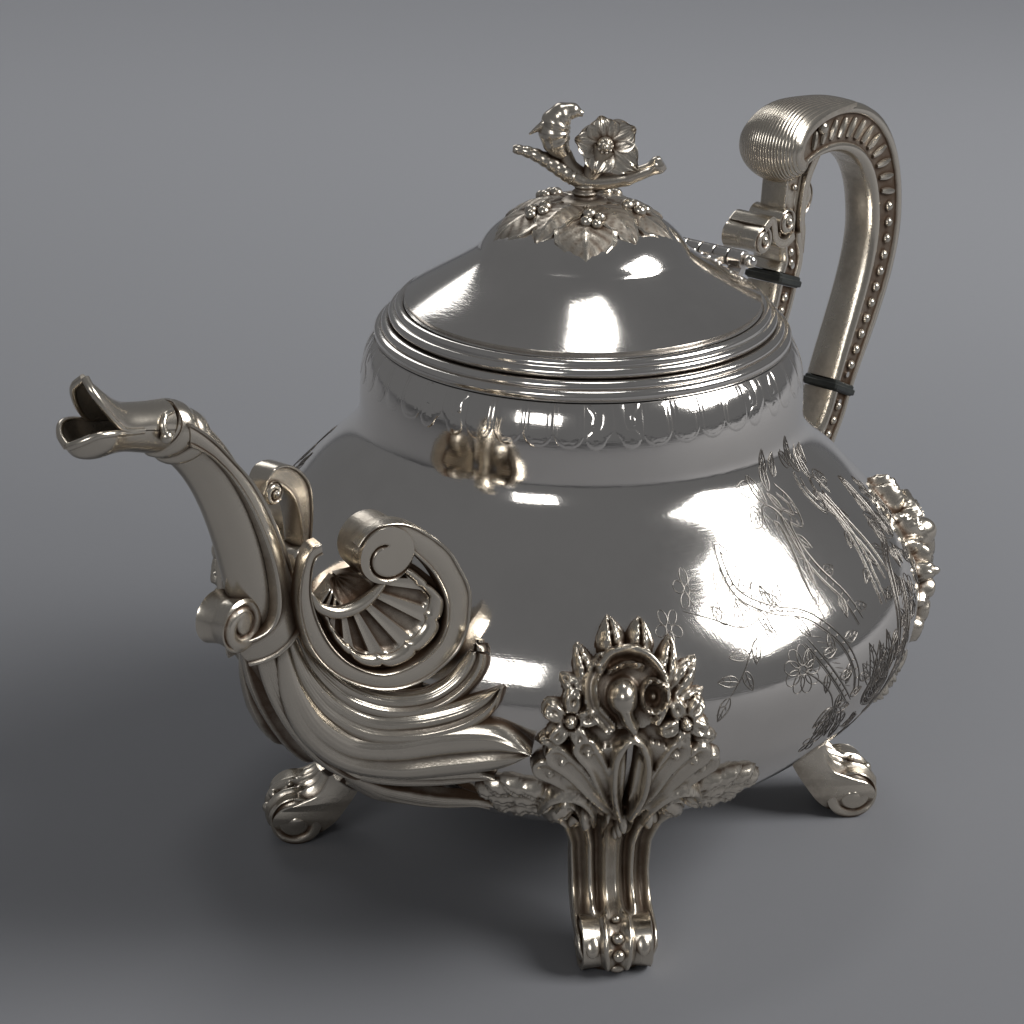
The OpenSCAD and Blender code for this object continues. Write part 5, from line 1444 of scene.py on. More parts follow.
class TEAPOT_OT_handle(PieceOperator):
    """Scroll handle with its thumb roll, neck and sockets"""
    bl_idname = "teapot.handle"
    bl_label = "Handle"

    def build(self, context):
        self.thick = context.scene.teapot_handle.thickness / MM
        self.pitch = context.scene.teapot_handle.pitch / MM
        self.grip()
        self.thumb()
        self.neck()
        self.sockets()

    # stations along the grip: all of them, the first and last with ornament, and the last with a bar
    STATIONS, FIRST, LAST, LAST_BAR = 150, 10, 146, 77

    def grip(self):
        """Strap with slanting bars, then beads, in the channels of its sides."""
        line = grip_line(self.STATIONS)
        t = np.linspace(0, 1, self.STATIONS)
        half = 5.4 + 2.6 * np.sin(np.pi * t) - 0.6 * (1 - t) ** 8
        part = Piece()
        rings, dark = strap(line, half, self.thick)
        part.rings(rings, dark)
        w, side = ways(line), sideways(line)
        length_mm = float(np.sum(np.linalg.norm(np.diff(line, axis=0), axis=1)))
        step = int(round(self.STATIONS / (length_mm / self.pitch)))
        floor = self.thick / 2 - CHANNEL
        f = np.linspace(0, 1, 9)[:, None]
        for i in range(self.FIRST, self.LAST + 1, step):
            for y in (1, -1):
                if i <= self.LAST_BAR:
                    slope = 0.18 * half[i]
                    p = line[i] + side[i] * 0.36 * half[i] - w[i] * slope
                    q = line[i] - side[i] * 0.40 * half[i] + w[i] * slope
                    bar = p * (1 - f) + q * f
                    r = 0.62 + 0.4 * np.sin(np.pi * f[:, 0])
                    part.rod(xyz(bar[:, 0], y * (floor + 0.15), bar[:, 1]), r, 8, 0.05, (0, 1, 0))
                else:
                    c = line[i] - side[i] * 0.05 * half[i]
                    part.ball((c[0], y * (floor + 0.2), c[1]), 1.35, 12, 9)
        cast(part, "handle_grip_strap", "handle_grip")

    def thumb(self):
        """Reeded roll over the front of the grip."""
        part = Piece()
        line = even(chain([[(86.5, 154.4), (80.5, 152.6), (75.0, 158.5), (79.4, 163.6)],
                           [(79.4, 163.6), (85, 168.4), (95, 168.2), (112, 167.2)]], 30), 70)
        t = np.linspace(0, 1, 70)
        half = np.interp(t, [0, 0.12, 0.3, 0.45, 0.7, 1], [7.4, 9.3, 9.5, 8.6, 6.4, 5.2])
        cols = 193
        v = np.linspace(-1, 1, cols)
        reeds = 24
        n = -sideways(line)
        top, bottom, dark = [], [], []
        for i in range(len(line)):
            r = np.abs(np.sin(np.pi * (v * 0.5 + 0.5) * reeds)) ** 0.7
            full = 2.9 + 2.4 * float(bump(t[i], 0.4, 0.2))
            crown = full * np.sqrt(np.clip(1 - v ** 2 * 0.97, 0, 1)) - 2.4 * v ** 2 * (1 - t[i] * 0.8)
            crown = crown * (1 - 0.82 * np.clip((t[i] - 0.62) / 0.38, 0, 1) ** 2)
            h = crown + 0.2 * r * np.clip(t[i] * 12, 0, 1) * (1 - 0.6 * t[i])
            top.append(xyz(line[i, 0] + n[i, 0] * h, half[i] * v, line[i, 1] + n[i, 1] * h))
            back = np.minimum(crown - 1.5, 0.1)
            bottom.append(xyz(line[i, 0] + n[i, 0] * back, half[i] * v * 0.97, line[i, 1] + n[i, 1] * back))
            dark.append(0.5 * (1 - r) ** 2)
        part.sheet(top, bottom, np.array(dark))
        for y in (1, -1):
            part.ball((95.6, y * 4.9, 163.6), 1.75, 18, 12, 0.0)
        cast(part, "handle_reeded_roll", "handle_thumb_scroll", 60)

    def neck(self):
        part = Piece()
        foot = UPPER_AT + (SLAB / 2 + 0.1) * lean(UPPER_TILT)
        low = through([foot, foot + lean(UPPER_TILT) * 4, (84.4, 134.4), (84.2, 137)], 30)
        rings, dark = strap(low, np.linspace(5.3, 4.4, 30), self.thick, 0.5)
        part.rings(rings, dark)
        high = through([(82.6, 134.5), (83.4, 140), (84.4, 146), (85.4, 152.6)], 30)
        band(part, high, np.interp(np.linspace(0, 1, 30), [0, 0.5, 1], [4.2, 3.0, 3.6]), 7.6)
        back = through([(88.9, 131), (89.2, 137), (88.6, 141), (90.5, 150.5), (95, 157)], 40)
        band(part, back, np.full(40, 1.3), 9.6, fillet=0.6, channel=0.0)
        scroll_roll(part, (81, 141.6), 3.3, 5.4, 200)
        scroll_roll(part, (69.6, 139.1), 3.6, 5.6, 200)
        link = through([(69.8, 142.0), (73.6, 143.4), (75.4, 138.2), (79.6, 136.0), (84, 137.2)], 40)
        band(part, link, np.full(40, 1.15), 11.0, fillet=0.4, channel=0.0)
        scroll_roll(part, (90.8, 145.4), 4.9, 3.4, 30)
        for y in (1, -1):
            for x, z, r in ((83.9, 132.6, 1.25), (84.3, 129.6, 1.1), (85.5, 149.5, 0.9)):
                part.ball((x, y * (self.thick / 2 - (0.9 if z < 140 else 1.6)), z), r, 14, 9)
        cast(part, "handle_neck_scrolls", "handle_neck")

    # each socket's arm: name, its slab's place and tilt, bends in XZ on the way to the body, half widths
    ARMS = [
        ("upper", UPPER_AT, UPPER_TILT, [(77.2, 111.6), (70.5, 106.8), (57.0, 104.0)],
         [5.2, 4.9, 5.4, 6.4, 8.5]),
        ("lower", LOWER_AT, LOWER_TILT, [(105.2, 71.8), (97, 65.6), (82.5, 61.5)],
         [5.2, 5.0, 5.3, 6.0, 8.5])]

    def sockets(self):
        for name, at, tilt, bends, widths in self.ARMS:
            way = lean(tilt)
            part = Piece()
            face = at - (SLAB / 2 + 0.1) * way
            line = through([face, face - 6 * way] + bends, 60)
            half = np.interp(np.linspace(0, 1, 60), np.linspace(0, 1, 5), widths)
            rings, dark = strap(line, half, self.thick, 0.55)
            keep = []
            for i, ring in enumerate(rings):
                z = np.clip(ring[:, 2], 20, 129)
                reach = np.sqrt(np.maximum(body_r(z) ** 2 - ring[:, 1] ** 2, 1.0))
                inside = ring[:, 0] < reach
                if inside.all():
                    break
                ring[:, 0] = np.maximum(ring[:, 0], reach - 0.5)
                keep.append(ring)
            part.rings(keep, dark[:len(keep)])
            for i in range(5, len(keep) - 8, 6):
                for y in (1, -1):
                    part.ball((line[i, 0], y * (self.thick / 2 - 0.75), line[i, 1]), 1.2, 12, 9)
            cast(part, f"handle_socket_arm_{name}", f"handle_socket_{name}")


class TEAPOT_OT_insulators(PieceOperator):
    """Two insulating slabs between the handle's silver ends"""
    bl_idname = "teapot.insulators"
    bl_label = "Insulators"

    def build(self, context):
        m = finishes()
        for name, at, tilt in (("upper", UPPER_AT, UPPER_TILT), ("lower", LOWER_AT, LOWER_TILT)):
            part = Piece()
            c, s = math.cos(math.radians(tilt)), math.sin(math.radians(tilt))
            lean_frame = [[c, 0, -s], [0, 1, 0], [s, 0, c]]
            for half_x, half_y, z0, z1 in ((5.2, 5.3, -SLAB / 2, SLAB / 2), (5.6, 5.8, -1.15, 0.55)):
                square = [(-half_x, -half_y), (half_x, -half_y), (half_x, half_y), (-half_x, half_y)]
                corners = []
                for (x, y), (nx, ny) in zip(square, square[1:] + square[:1]):
                    for f in (0.05, 0.35, 0.65, 0.95):
                        corners.append((x + (nx - x) * f, y + (ny - y) * f))
                part.prism(corners, z0, z1, lean_frame, (at[0], 0, at[1]), 0.3)
            place(part.make(f"insulating_slab_{name}", m["slab"], 30), "pot", "ebonite", f"insulator_{name}")


# ---- feet and cartouches ----

class TEAPOT_OT_feet(PieceOperator):
    """Four fluted scroll feet"""
    bl_idname = "teapot.feet"
    bl_label = "Feet"

    # the leg's front and back lines, from the body down: radius and height
    FRONT = [(67.6, 36.5), (64.6, 31), (63.2, 25), (63.6, 19), (66.2, 14.8), (70.6, 13.0), (75.2, 11.4),
             (77.9, 7.8), (77.4, 3.6), (74.4, 0.6), (71.2, 0.0)]
    BACK = [(63.6, 36.0), (59.2, 31), (54.6, 25), (53.6, 20), (56.0, 14.5), (59.2, 9.5), (61.8, 5.8),
            (64.4, 3.0), (67.0, 1.2), (69.2, 0.2), (70.0, 0.0)]

    def build(self, context):
        for name, angle in FOOT_ANGLES.items():
            part = Piece()
            rings, dark = self.leg()
            part.rings(turn_z(rings, angle), dark)
            for side in (1, -1):
                axes = np.array([[0.9, 0, 0.9], [0, 1.9 * side, 0], [-1.7, 0, 2.2]]) @ self.turn(angle)
                part.ball(turn_z((76.3, side * 5.9, 8.4), angle), 1, 20, 15, 0.25, axes)
            scroll_roll(part, (71.2, 6.6), 6.3, 8.5, 60, move=lambda p, a=angle: turn_z(p, a))
            for r, z, size in ((72.4, 12.9, 1.0), (76.5, 10.2, 1.45), (78.2, 6.6, 1.4)):
                part.ball(turn_z((r, 0, z), angle), size, 18, 13)
            part.ball(turn_z((76.2, 0, 2.2), angle), 1, 16, 11, 0.1,
                      np.diag([1.0, 1.9, 1.1]) @ self.turn(angle))
            cast(part, f"foot_scroll_{name}", f"foot_{name}", 50)

    @staticmethod
    def turn(angle):
        a = math.radians(angle)
        return np.array([[math.cos(a), math.sin(a), 0], [-math.sin(a), math.cos(a), 0], [0, 0, 1]])

    def leg(self):
        n, cols = 96, 75
        front, back = through(self.FRONT, n), through(self.BACK, n)
        f = np.linspace(0, 1, n)
        width = np.interp(f, [0, 0.08, 0.2, 0.35, 0.6, 0.75, 0.86, 1],
                          [14.5, 11.6, 9.6, 9.2, 9.5, 9.3, 7.6, 5.0])
        out = -sideways(front)
        tau = np.linspace(-9.4, 9.4, cols)
        at = np.abs(tau)
        leg_h = (bump(at, 9.0, 0.7) + bump(at, 5.0, 0.8) + 0.8 * bump(at, 1.8, 0.4) - 1.5 * bump(at, 7.1, 1.3)
                 - 1.2 * bump(at, 3.35, 0.9) - 0.1 * (at < 1.3))
        toe_h = (bump(at, 2.9, 0.85) + 0.7 * bump(at, 9.0, 0.8) - 1.7 * bump(at, 6.2, 1.9)
                 - 0.6 * bump(at, 0, 1.2))
        leg_dark = np.clip(0.45 * bump(at, 7.1, 1.2) + 0.5 * bump(at, 3.35, 0.8) + 0.4 * bump(at, 0, 1.2),
                           0, 1)
        toe_dark = np.clip(0.9 * bump(at, 6.2, 2.2) + 0.8 * bump(at, 0, 1.3), 0, 1)
        rings, dark = [], []
        for i in range(n):
            mix = np.clip((f[i] - 0.52) / 0.07, 0, 1)
            last = np.clip((f[i] - 0.86) / 0.08, 0, 1)
            h = (leg_h * (1 - mix) + toe_h * mix) * (1 - last)
            d = (leg_dark * (1 - mix) + toe_dark * mix) * (1 - last) + 0.3 * last
            t = tau / 9.4 * width[i]
            bow = -1.6 * (t / width[i]) ** 4
            fr = xyz(front[i, 0] + out[i, 0] * (h + bow), t, front[i, 1] + out[i, 1] * (h + bow))
            tb = np.linspace(width[i] - 0.5, -width[i] + 0.5, 9)
            bk = xyz(back[i, 0], tb, back[i, 1])
            rings.append(np.vstack([fr, bk]))
            dark.append(np.r_[d, np.full(9, 0.6)])
        rings = np.array(rings)
        rings[..., 2] = np.maximum(rings[..., 2], 0.0)
        return rings, np.array(dark)


def body_relief(heights, X, Z, angle, radius=85.0):
    """Grid on the body for a relief drawn in millimetres beside the angle and in height."""
    theta = angle + np.degrees(X / radius)
    return on_body(theta, Z, heights), on_body(theta, Z, -0.95)


class TEAPOT_OT_cartouches(PieceOperator):
    """Cast cartouches of shells, leaves and blossoms above the feet"""
    bl_idname = "teapot.cartouches"
    bl_label = "Cartouches"

    def build(self, context):
        step = context.scene.teapot_ornament.grid / MM
        X, Z = np.meshgrid(np.arange(-37, 37.01, step), np.arange(31.5, 93.5, step), indexing="ij")
        h = self.heights(X, Z)
        dark = np.clip(relief_dark(h) * 1.05 + (h < 0.4) * 0.4, 0, 1)
        for name, angle in FOOT_ANGLES.items():
            top, bottom = body_relief(np.maximum(h, -0.6), X, Z, angle)
            part = Piece()
            part.sheet(top, bottom, dark)
            cast(part, f"leaf_cartouche_{name}", f"cartouche_{name}", 75)

    # gutters of the palmette, three on each side of its slot: middle line and height
    GUTTERS = [
        ([(0.0, 43.5), (-3.9, 52), (-6.8, 60.0), (-9.8, 64.8)], 5.4),
        ([(-1.0, 43), (-6.5, 50.5), (-11.4, 58.0), (-15.8, 62.4)], 4.8),
        ([(-2.0, 42.2), (-8.4, 48.6), (-14.2, 55.6), (-18.8, 58.6)], 4.2),
        ([(1.8, 43.5), (5.2, 51.5), (7.6, 58.8), (10.8, 63.4)], 5.4),
        ([(2.6, 43), (8.0, 50.2), (12.0, 57.2), (15.8, 61.2)], 4.8),
        ([(3.4, 42.2), (10.2, 48.2), (14.8, 54.8), (18.6, 58.2)], 4.2)]
    # leaves over the hood and at its sides: root, angle, length, width and height
    HOOD_LEAVES = [
        ((-3.4, 82.6), 99, 7.4, 7.4, 5.0), ((2.4, 82.4), 82, 7.2, 7.0, 5.2),
        ((-7.8, 76.0), 116, 10.4, 6.0, 4.2), ((-8.4, 74.4), 144, 9.0, 5.6, 3.6),
        ((7.0, 76.4), 70, 10.4, 5.8, 4.6), ((8.2, 74.8), 42, 10.4, 6.2, 3.8),
        ((8.6, 72.2), 22, 9.0, 4.6, 3.0), ((-9.0, 72.0), 170, 7.0, 4.6, 2.8),
        ((-15.0, 66.8), 196, 6.0, 4.4, 2.6), ((14.0, 65.6), -14, 6.4, 4.4, 2.6)]
    # leaves of the spray on each side: root, angle and length
    SPRAY_LEAVES = [
        ((18.0, 47.8), 24, 9.0), ((22.5, 48.2), 30, 8.6), ((27.0, 48.0), 24, 8.0), ((31.0, 47.0), 14, 6.4),
        ((17.5, 43.6), -12, 9.6), ((22.5, 42.8), -18, 9.0), ((27.0, 43.2), -12, 8.4), ((19.0, 45.6), 4, 10.5),
        ((25.5, 45.4), 3, 10.4), ((12.5, 40.6), -22, 9.5), ((9.0, 36.6), -24, 8.0)]

    def heights(self, X, Z):
        """Heights of the palmette with its slot, the ball and ring under a hood, leaves and blossoms."""
        layers = []
        add = layers.append

        def stroke(points, n, width, high, kind="round"):
            add(rel_stroke(X, Z, through(points, n), width, high, kind))

        def ball(x, z, r, high):
            add(rel_ball(X, Z, (x, z), r, high))

        for points, high in self.GUTTERS:
            stroke(points, 34, np.linspace(1.5, 3.4, 34), high * 0.9, "gutter")
            ball(points[-1][0] * 0.93, points[-1][1] - 0.9, 1.25, high * 0.85)
        slot_edge = [(-0.6, 45), (-2.9, 54), (-3.0, 63.4), (0.2, 67.6), (3.4, 63.4), (3.9, 54), (2.1, 45)]
        stroke(slot_edge, 60, 1.75, 5.9)
        # ball with its trunk, ring beside it, and the hood round both
        ball(-1.9, 75.6, 3.9, 7.8)
        stroke([(-1.7, 73.2), (-0.9, 71.2), (0.2, 69.6)], 14, np.linspace(2.6, 1.7, 14), 6.8)
        add(rel_ring(X, Z, (4.6, 75.4), 2.7, 0.95, 6.6))
        ball(4.6, 75.4, 1.2, 4.4)
        hood = [(-7.0, 80.8), (-4.2, 83.0), (0.2, 83.6), (4.4, 82.2), (7.2, 78.8), (7.4, 74.4), (5.2, 70.8)]
        stroke(hood, 40, 1.45, 6.0)
        stroke([(-4.8, 80.0), (-1.0, 81.2), (2.6, 80.6)], 20, 0.8, 6.4)
        stroke([(-6.4, 81.8), (-8.9, 78.2), (-8.2, 73.6), (-5.0, 70.2)], 30, 1.9, 5.8, "gutter")
        for root, angle, long, wide, high in self.HOOD_LEAVES:
            add(rel_leaf(X, Z, root, angle, long, wide, high, 5))
        add(rel_petals(X, Z, (-13.0, 70.8), 6.9, 5, 12, 5.0))
        add(rel_petals(X, Z, (11.8, 69.4), 6.3, 5, 48, 5.0))
        for side in (1, -1):
            # C-scroll with a hollow and its ball, the spray that follows the body, and the stem below
            c_scroll = [(20.6, 45.4), (17.4, 50.2), (13.4, 51.8), (9.8, 49.8), (7.4, 45.6), (6.6, 40.5)]
            stroke([(side * x, z) for x, z in c_scroll], 44, np.linspace(1.1, 1.5, 44), 4.9)
            hollow = [(16.5, 44.6), (14.6, 47.4), (12.0, 46.8), (10.6, 42.8)]
            stroke([(side * x, z) for x, z in hollow], 30, 0.8, 3.6)
            ball(side * 8.6, 39.4, 2.1, 5.2)
            for (x, z), angle, long in self.SPRAY_LEAVES:
                turned = angle if side > 0 else 180 - angle
                add(rel_leaf(X, Z, (side * x, z), turned, long, 4.8, 3.2, 4))
            stroke([(side * 3.2, 43.0), (side * 3.6, 38), (side * 3.2, 31.8)], 16, 0.9, 5.0)
        for x, z, r, high in ((1.0, 41.4, 1.7, 6.8), (0.7, 37.9, 1.5, 6.4), (0.4, 34.7, 1.35, 6.0)):
            ball(x, z, r, high)
        ground = np.maximum.reduce([
            2.8 * (np.hypot((X - 0.5) / 15.5, (Z - 55) / 11) < 1),
            3.0 * (np.hypot(X / 8.4, (Z - 76.4) / 7.6) < 1),
            1.2 * (np.hypot(X / 14, (Z - 68) / 8) < 1),
            1.4 * ((np.abs(X) < 7) & (Z < 46))])
        h = np.maximum(np.max(np.stack(layers), axis=0), ground - 0.1)
        slot = np.clip(1.15 - np.abs(X - 0.4) / np.interp(Z, [46, 64], [0.5, 1.35]), 0, 1)
        return h - slot * (Z > 47.0) * (Z < 66.2) * 4.2


# ---- chased ornament on the sheet ----

class TEAPOT_OT_chasing(PieceOperator):
    """Lobed border round the neck and the engraved scrollwork on the sides"""
    bl_idname = "teapot.chasing"
    bl_label = "Chased ornament"

    NECK_R = 52.9
    SIDE_R = 84.0

    def build(self, context):
        m = finishes()
        self.border(m, context.scene.teapot_ornament)
        self.panels(m)

    def border(self, m, s):
        """One eighth of the border as a relief, repeated about the axis."""
        sector = math.radians(45) * self.NECK_R
        pair = 13.2
        pitch = (sector - pair) / s.arches
        X, Z = np.meshgrid(np.linspace(0, sector, 131), np.arange(120.4, 130.75, 0.33), indexing="ij")
        h = np.full_like(X, OUTSIDE)
        for k in range(s.arches):
            x = X - pair / 2 - pitch * (k + 0.5)
            half = pitch / 2 - 0.1
            floor = 121.4
            # distance inside the arch's outline: straight sides and a round foot
            low = np.hypot(x, np.minimum(Z - floor - half, 0))
            inside = half - low
            lobe = 1 - np.exp(-np.clip(inside, 0, 9) / 0.3)
            lobe = lobe - 0.6 * bump(inside, 0.8, 0.13) - 0.3 * bump(inside, 1.3, 0.11)
            h = np.maximum(h, np.where(inside > -0.1, lobe, OUTSIDE))
        for mid in (0.0, sector):
            for side in (1, -1):
                x = (X - mid) * side
                horn = through([(0.9, 130.6), (1.3, 126.5), (3.2, 123.6), (4.9, 123.3)], 30)
                h = np.maximum(h, rel_stroke(x, Z, horn, np.linspace(1.6, 1.2, 30), 0.95))
                h = np.maximum(h, rel_ball(x, Z, (4.0, 123.4), 2.15, 1.0, 0.5))
                stem = through([(5.9, 130.6), (4.4, 128.6), (4.6, 126.8)], 16)
                h = np.maximum(h, rel_stroke(x, Z, stem, 0.55, 0.7))
                r, a = np.hypot(x - 4.0, Z - 123.4), np.arctan2(Z - 123.4, x - 4.0)
                turn = (r / 1.6 - a / (2 * np.pi)) % 1.0
                h = h - 0.22 * bump(turn, 0.5, 0.13) * (r < 1.9)
        dark = np.clip(relief_dark(np.maximum(h, 0), 2) * 1.2, 0, 1)
        theta = np.degrees(X / self.NECK_R)
        part = Piece()
        part.sheet(on_body(theta, Z, np.maximum(h * 0.17, -0.12)), on_body(theta, Z, -0.8), dark * 0.6)
        source = part.make("border_sector", m["sheet"], 70)
        place(grow(source, "around", "lobed_border", Count=8, Step=math.radians(45), Material=m["sheet"]),
              "pot", "raised_silver")

    def cut(self, part, path, radius=0.17, out=0.03, dark=0.3):
        """Burr of an engraved line along a path of (millimetres beside the middle, height)."""
        p = np.asarray(path, float)
        theta = self.middle + self.way * np.degrees(p[:, 0] / self.SIDE_R)
        t = np.linspace(0, 1, len(p))
        part.rod(on_body(theta, p[:, 1], out), radius * (0.35 + 0.65 * np.sin(np.pi * t) ** 0.5), 5, dark,
                 (0.001, 0.002, 1))

    def put(self, part, at, x, y, angle, radius):
        """Engraved line at a place, turned by an angle."""
        x, y = spin(x, y, angle)
        self.cut(part, np.c_[at[0] + x, at[1] + y], radius)

    def spray(self, part, root, angle, long, wide, veins=3):
        """Engraved leaf: two edges, a midrib and side veins."""
        u = np.linspace(0, 1, 14)
        edge = wide / 2 * np.sin(np.pi * u ** 0.8) ** 0.9
        bend = 0.12 * long * u ** 2
        for side in (1, -1, 0):
            self.put(part, root, long * u, side * edge + bend, angle, 0.17 if side else 0.13)
        for k in range(veins):
            f = (k + 1) / (veins + 1)
            for side in (1, -1):
                x = long * np.array([f, f + 0.09, f + 0.16])
                y = side * edge[int(f * 13)] * np.array([0, 0.45, 0.8]) + 0.12 * long * f * f
                self.put(part, root, x, y, angle, 0.11)

    def bloom(self, part, at, r, petals, turn=0.0):
        """Engraved blossom of oval petals round a small ring."""
        t = np.linspace(0, 2 * np.pi, 16)
        for k in range(petals):
            x, y = 0.62 * r + 0.42 * r * np.cos(t), 0.3 * r * np.sin(t)
            self.put(part, at, x, y, turn + 360 * k / petals, 0.15)
        t = np.linspace(0, 2 * np.pi, 14)
        self.cut(part, np.c_[at[0] + 0.2 * r * np.cos(t), at[1] + 0.2 * r * np.sin(t)], 0.15)

    def ribbon(self, part, path, gap, bars=0):
        """Two parallel engraved lines, with cross bars between them."""
        path = np.asarray(path, float)
        left, right = beside(path, gap / 2), beside(path, -gap / 2)
        for p in (left, right):
            self.cut(part, p, 0.24)
        self.cut(part, beside(path, gap / 2 + 0.5), 0.12)
        if bars:
            for i in np.linspace(4, len(path) - 5, bars).astype(int):
                q = np.linspace(0.2, 0.8, 5)[:, None]
                self.cut(part, left[i] * (1 - q) + right[i] * q, 0.16)

    def sprouts(self, part, path, every, long):
        """Small leaves that leave a path on both sides by turns."""
        path = np.asarray(path, float)
        w = ways(path)
        for n, i in enumerate(range(every // 2, len(path) - 2, every)):
            side = 1 if n % 2 else -1
            root = path[i] + 1.0 * side * vec(-w[i, 1], w[i, 0])
            angle = math.degrees(math.atan2(w[i, 1], w[i, 0])) + 52 * side
            self.spray(part, root, angle, long, long * 0.46, 2)

    # double lines of half a panel: path, its points, gap and cross bars; x is away from the middle
    TALL_SCROLL = [(9, 106), (6.5, 103), (8.5, 99.5), (12.5, 101), (14.5, 97), (13, 91), (9, 85), (7, 79)]
    BARRED_SCROLL = [(20.5, 99.5), (18.8, 102.5), (15.4, 101), (16.2, 95), (18.0, 89), (17.5, 82.5)]
    BRANCH = [(38, 96), (42.5, 99.5), (42, 92), (34, 87.5), (24, 84.5), (16.5, 78), (12.5, 70), (11.5, 64)]
    TWIG = [(27, 80), (20, 70), (13.5, 61.5)]
    FOOT_SCROLL = [(3.5, 64.5), (6.0, 60.0), (1.5, 57), (-6, 57.5)]
    # single lines: path, its points and radius
    STEMS = [([(24, 85), (34, 87), (43, 85.5), (51, 88), (58, 90)], 40, 0.2),
             ([(36, 86), (42, 82), (46, 77), (50, 72.5)], 24, 0.18),
             ([(30, 74.5), (25.5, 71), (21.5, 66.5), (19.5, 62)], 24, 0.22),
             ([(17, 58), (10, 52.5), (2, 49.5)], 20, 0.18)]
    # blossoms: x, z, radius, petals and turn
    BLOOMS = [(55.5, 93.5, 3.6, 5, 20), (62.5, 87.5, 3.4, 5, 50), (30, 74.5, 5.2, 9, 0),
              (22, 52.5, 3.2, 5, 12)]
    # leaves by width and veins: x, z, angle and length
    LEAVES = [
        (2.3, 2, [(40, 86.5, 62, 5), (44, 85.7, 110, 4.6), (47, 86.4, 55, 5), (50, 87.4, 128, 4),
                  (40.5, 83, -62, 5), (43.5, 80.5, 8, 5.5), (45.5, 77.5, -100, 4.6), (47.5, 75.5, 14, 5.2),
                  (50, 72.5, -52, 6), (37, 85.3, -112, 4.4), (33.5, 87, 88, 5), (30.5, 86.4, 60, 5.2)]),
        (3.2, 3, [(38.5, 95.5, -28, 8)]),
        (3.0, 3, [(33.5, 93, -40, 7.5)]),
        (3.4, 3, [(19.5, 62, a, 10 - abs(a - 262) * 0.05) for a in (200, 235, 262, 300, 330)]),
        (3.6, 3, [(3.8, 62, 60, 10), (3.8, 62, 85, 12), (3.8, 62, 108, 11), (3.8, 62, 130, 9)]),
        (2.8, 2, [(14, 56, -95, 6), (9.5, 52.5, 178, 6), (12.5, 54.8, 60, 6), (5, 50.6, 70, 6),
                  (4, 50.2, -100, 6), (18, 59, -60, 6)]),
        (3.4, 3, [(13, 106, 118, 7), (16.5, 104, 66, 7.5), (19.5, 107, 20, 7), (10.5, 109, 96, 6),
                  (7, 108, 130, 6), (21, 103.5, -14, 6.5)])]
    NARROW = 0.74      # width of the half towards the handle, as a share of the other half's

    def panels(self, m):
        for name, middle, way in (("left", 275.0, 1), ("right", 85.0, -1)):
            self.middle, self.way = middle, way
            part = Piece()
            for side in (-1, 1):
                self.half_panel(part, side)
            for a in (54, 72, 90, 108, 126):
                self.spray(part, (0, 55), a, 9, 3.0, 3)
            place(part.make(f"engraved_panel_{name}", m["cut"], 80), "pot", "raised_silver")

    def half_panel(self, part, side):
        """Engraving on one side of a panel's middle line."""
        share = 1.0 if side < 0 else self.NARROW

        def at(x, z):
            return side * x * share, z

        def bend(points, n):
            return through([at(x, z) for x, z in points], n)

        tall = bend(self.TALL_SCROLL, 60)
        self.ribbon(part, tall, 2.2, 16)
        self.sprouts(part, tall[16:], 7, 4.6)
        self.ribbon(part, bend(self.BARRED_SCROLL, 40), 3.0, 6)
        branch = bend(self.BRANCH, 70)
        self.ribbon(part, branch, 1.5, 22)
        self.sprouts(part, branch[8:], 6, 5.0)
        twig = bend(self.TWIG, 30)
        self.ribbon(part, twig, 1.3, 8)
        self.sprouts(part, twig, 5, 4.6)
        self.ribbon(part, bend(self.FOOT_SCROLL, 30), 1.5, 9)
        for points, n, radius in self.STEMS:
            self.cut(part, bend(points, n), radius)
        for x, z, r, petals, turn in self.BLOOMS:
            self.bloom(part, at(x, z), r, petals, turn)
        for wide, veins, leaves in self.LEAVES:
            for x, z, angle, long in leaves:
                self.spray(part, at(x, z), angle if side > 0 else 180 - angle, long, wide, veins)
        # ruffle inside the foot scroll
        for z in np.arange(66, 80, 1.35):
            x = z - 64
            self.cut(part, bend([(13.2 + x * 0.55, z), (15.2 + x * 0.62, z + 1.0)], 5), 0.13)


# ---- stage ----

CAMERA_AT = (-0.47298, -0.35332, 0.32808)
CAMERA_LOOK = (0.72491, 0.57355, -0.38152)
CAMERA_ROLL = 0.53
CAMERA_LENS = 91.41


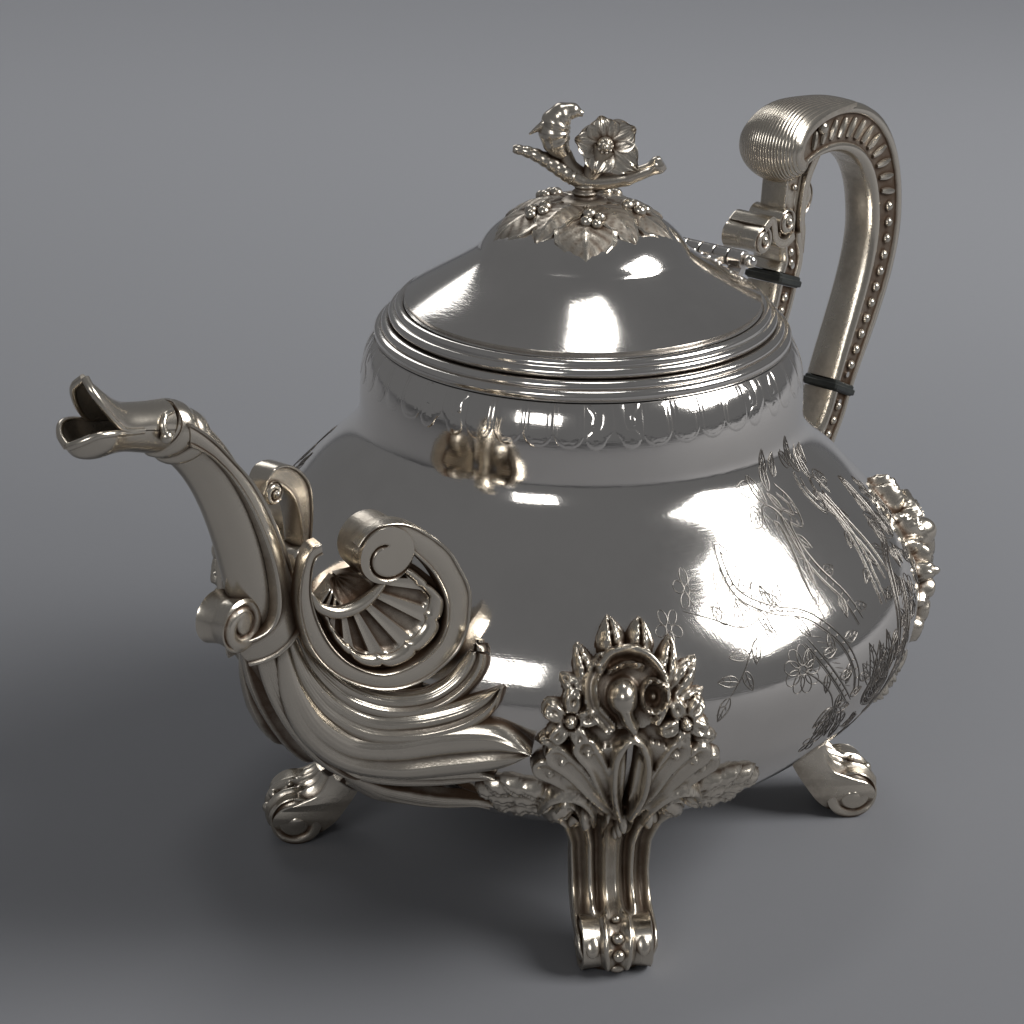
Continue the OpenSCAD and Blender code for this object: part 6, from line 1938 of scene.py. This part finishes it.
class TEAPOT_OT_stage(bpy.types.Operator):
    """Paper floor, soft boxes, room light and camera"""
    bl_idname = "teapot.stage"
    bl_label = "Stage"

    def execute(self, context):
        s = context.scene.teapot_stage
        self.floor(s)
        self.room(context.scene, s)
        for name, azimuth, elevation, distance, size, power in (
                ("key_softbox", -64.0, 38.0, 1.5, 0.85, s.key),
                ("side_softbox", -165.0, 27.0, 1.3, 0.42, s.fill),
                ("top_softbox", 20.0, 80.0, 1.6, 0.34, s.fill * 0.9),
                ("back_softbox", 60.0, 34.0, 1.7, 0.7, s.fill)):
            self.softbox(name, azimuth, elevation, distance, size, power)
        self.camera(context.scene)
        return {"FINISHED"}

    @staticmethod
    def floor(s):
        mesh = bpy.data.meshes.new("paper_floor")
        h = s.floor / 2
        mesh.from_pydata([(-h, -h, 0), (h, -h, 0), (h, h, 0), (-h, h, 0)], [], [(0, 1, 2, 3)])
        mesh.materials.append(paper("studio_paper", tuple(s.paper)))
        obj = bpy.data.objects.new("paper_floor", mesh)
        bpy.context.scene.collection.objects.link(obj)

    @staticmethod
    def room(scene, s):
        world = bpy.data.worlds.new("room")
        world.use_nodes = True
        back = world.node_tree.nodes["Background"]
        back.inputs["Color"].default_value = (0.93, 0.95, 1.0, 1.0)
        back.inputs["Strength"].default_value = s.ambient
        scene.world = world
        scene.view_settings.view_transform = "Standard"

    @staticmethod
    def softbox(name, azimuth, elevation, distance, size, power):
        """Rectangular lamp that faces the pot's middle."""
        middle = Vector((0, 0, 0.08))
        a, e = math.radians(azimuth), math.radians(elevation)
        at = middle + distance * Vector((math.cos(a) * math.cos(e), math.sin(a) * math.cos(e), math.sin(e)))
        data = bpy.data.lights.new(name, "AREA")
        data.shape = "RECTANGLE"
        data.size, data.size_y = size, size * 0.85
        data.energy = power
        obj = bpy.data.objects.new(name, data)
        obj.location = at
        obj.rotation_euler = (middle - at).to_track_quat("-Z", "Y").to_euler()
        bpy.context.scene.collection.objects.link(obj)

    @staticmethod
    def camera(scene):
        look = Vector(CAMERA_LOOK).normalized()
        right = look.cross(Vector((0, 0, 1))).normalized()
        up = right.cross(look)
        roll = math.radians(CAMERA_ROLL)
        right, up = right * math.cos(roll) + up * math.sin(roll), up * math.cos(roll) - right * math.sin(roll)
        data = bpy.data.cameras.new("camera")
        data.lens, data.sensor_width = CAMERA_LENS, 36.0
        data.clip_end = 50
        obj = bpy.data.objects.new("camera", data)
        obj.matrix_world = Matrix((
            (right.x, up.x, -look.x, CAMERA_AT[0]), (right.y, up.y, -look.y, CAMERA_AT[1]),
            (right.z, up.z, -look.z, CAMERA_AT[2]), (0, 0, 0, 1)))
        scene.collection.objects.link(obj)
        scene.camera = obj


class TEAPOT_PT_panel(bpy.types.Panel):
    """Lists the steps that build the teapot"""
    bl_idname = "TEAPOT_PT_panel"
    bl_label = "Teapot"
    bl_space_type = "VIEW_3D"
    bl_region_type = "UI"
    bl_category = "Teapot"

    def draw(self, context):
        for step in STEPS:
            self.layout.operator(step.bl_idname)
        for name in SETTINGS:
            box = self.layout.box()
            group = getattr(context.scene, name)
            for key in group.bl_rna.properties.keys():
                if key not in {"rna_type", "name"}:
                    box.prop(group, key)


STEPS = [TEAPOT_OT_body, TEAPOT_OT_lid, TEAPOT_OT_hinge, TEAPOT_OT_finial, TEAPOT_OT_spout,
         TEAPOT_OT_root_scrolls, TEAPOT_OT_acanthus, TEAPOT_OT_handle, TEAPOT_OT_insulators, TEAPOT_OT_feet,
         TEAPOT_OT_cartouches, TEAPOT_OT_chasing, TEAPOT_OT_stage]


def register():
    for cls in list(SETTINGS.values()) + STEPS + [TEAPOT_PT_panel]:
        bpy.utils.register_class(cls)
    for name, cls in SETTINGS.items():
        setattr(bpy.types.Scene, name, PointerProperty(type=cls))


def unregister():
    for name in SETTINGS:
        delattr(bpy.types.Scene, name)
    for cls in [TEAPOT_PT_panel] + STEPS[::-1] + list(SETTINGS.values()):
        bpy.utils.unregister_class(cls)


def main():
    register()
    for step in STEPS:
        group, action = step.bl_idname.split(".")
        getattr(getattr(bpy.ops, group), action)()
    # the pins keep the frame's own mesh, in the fittings' silver
    pins = frame["nodes"]["insulator_pins"].data
    pins.materials.clear()
    pins.materials.append(finishes()["work"])


if __name__ == "__main__":
    main()
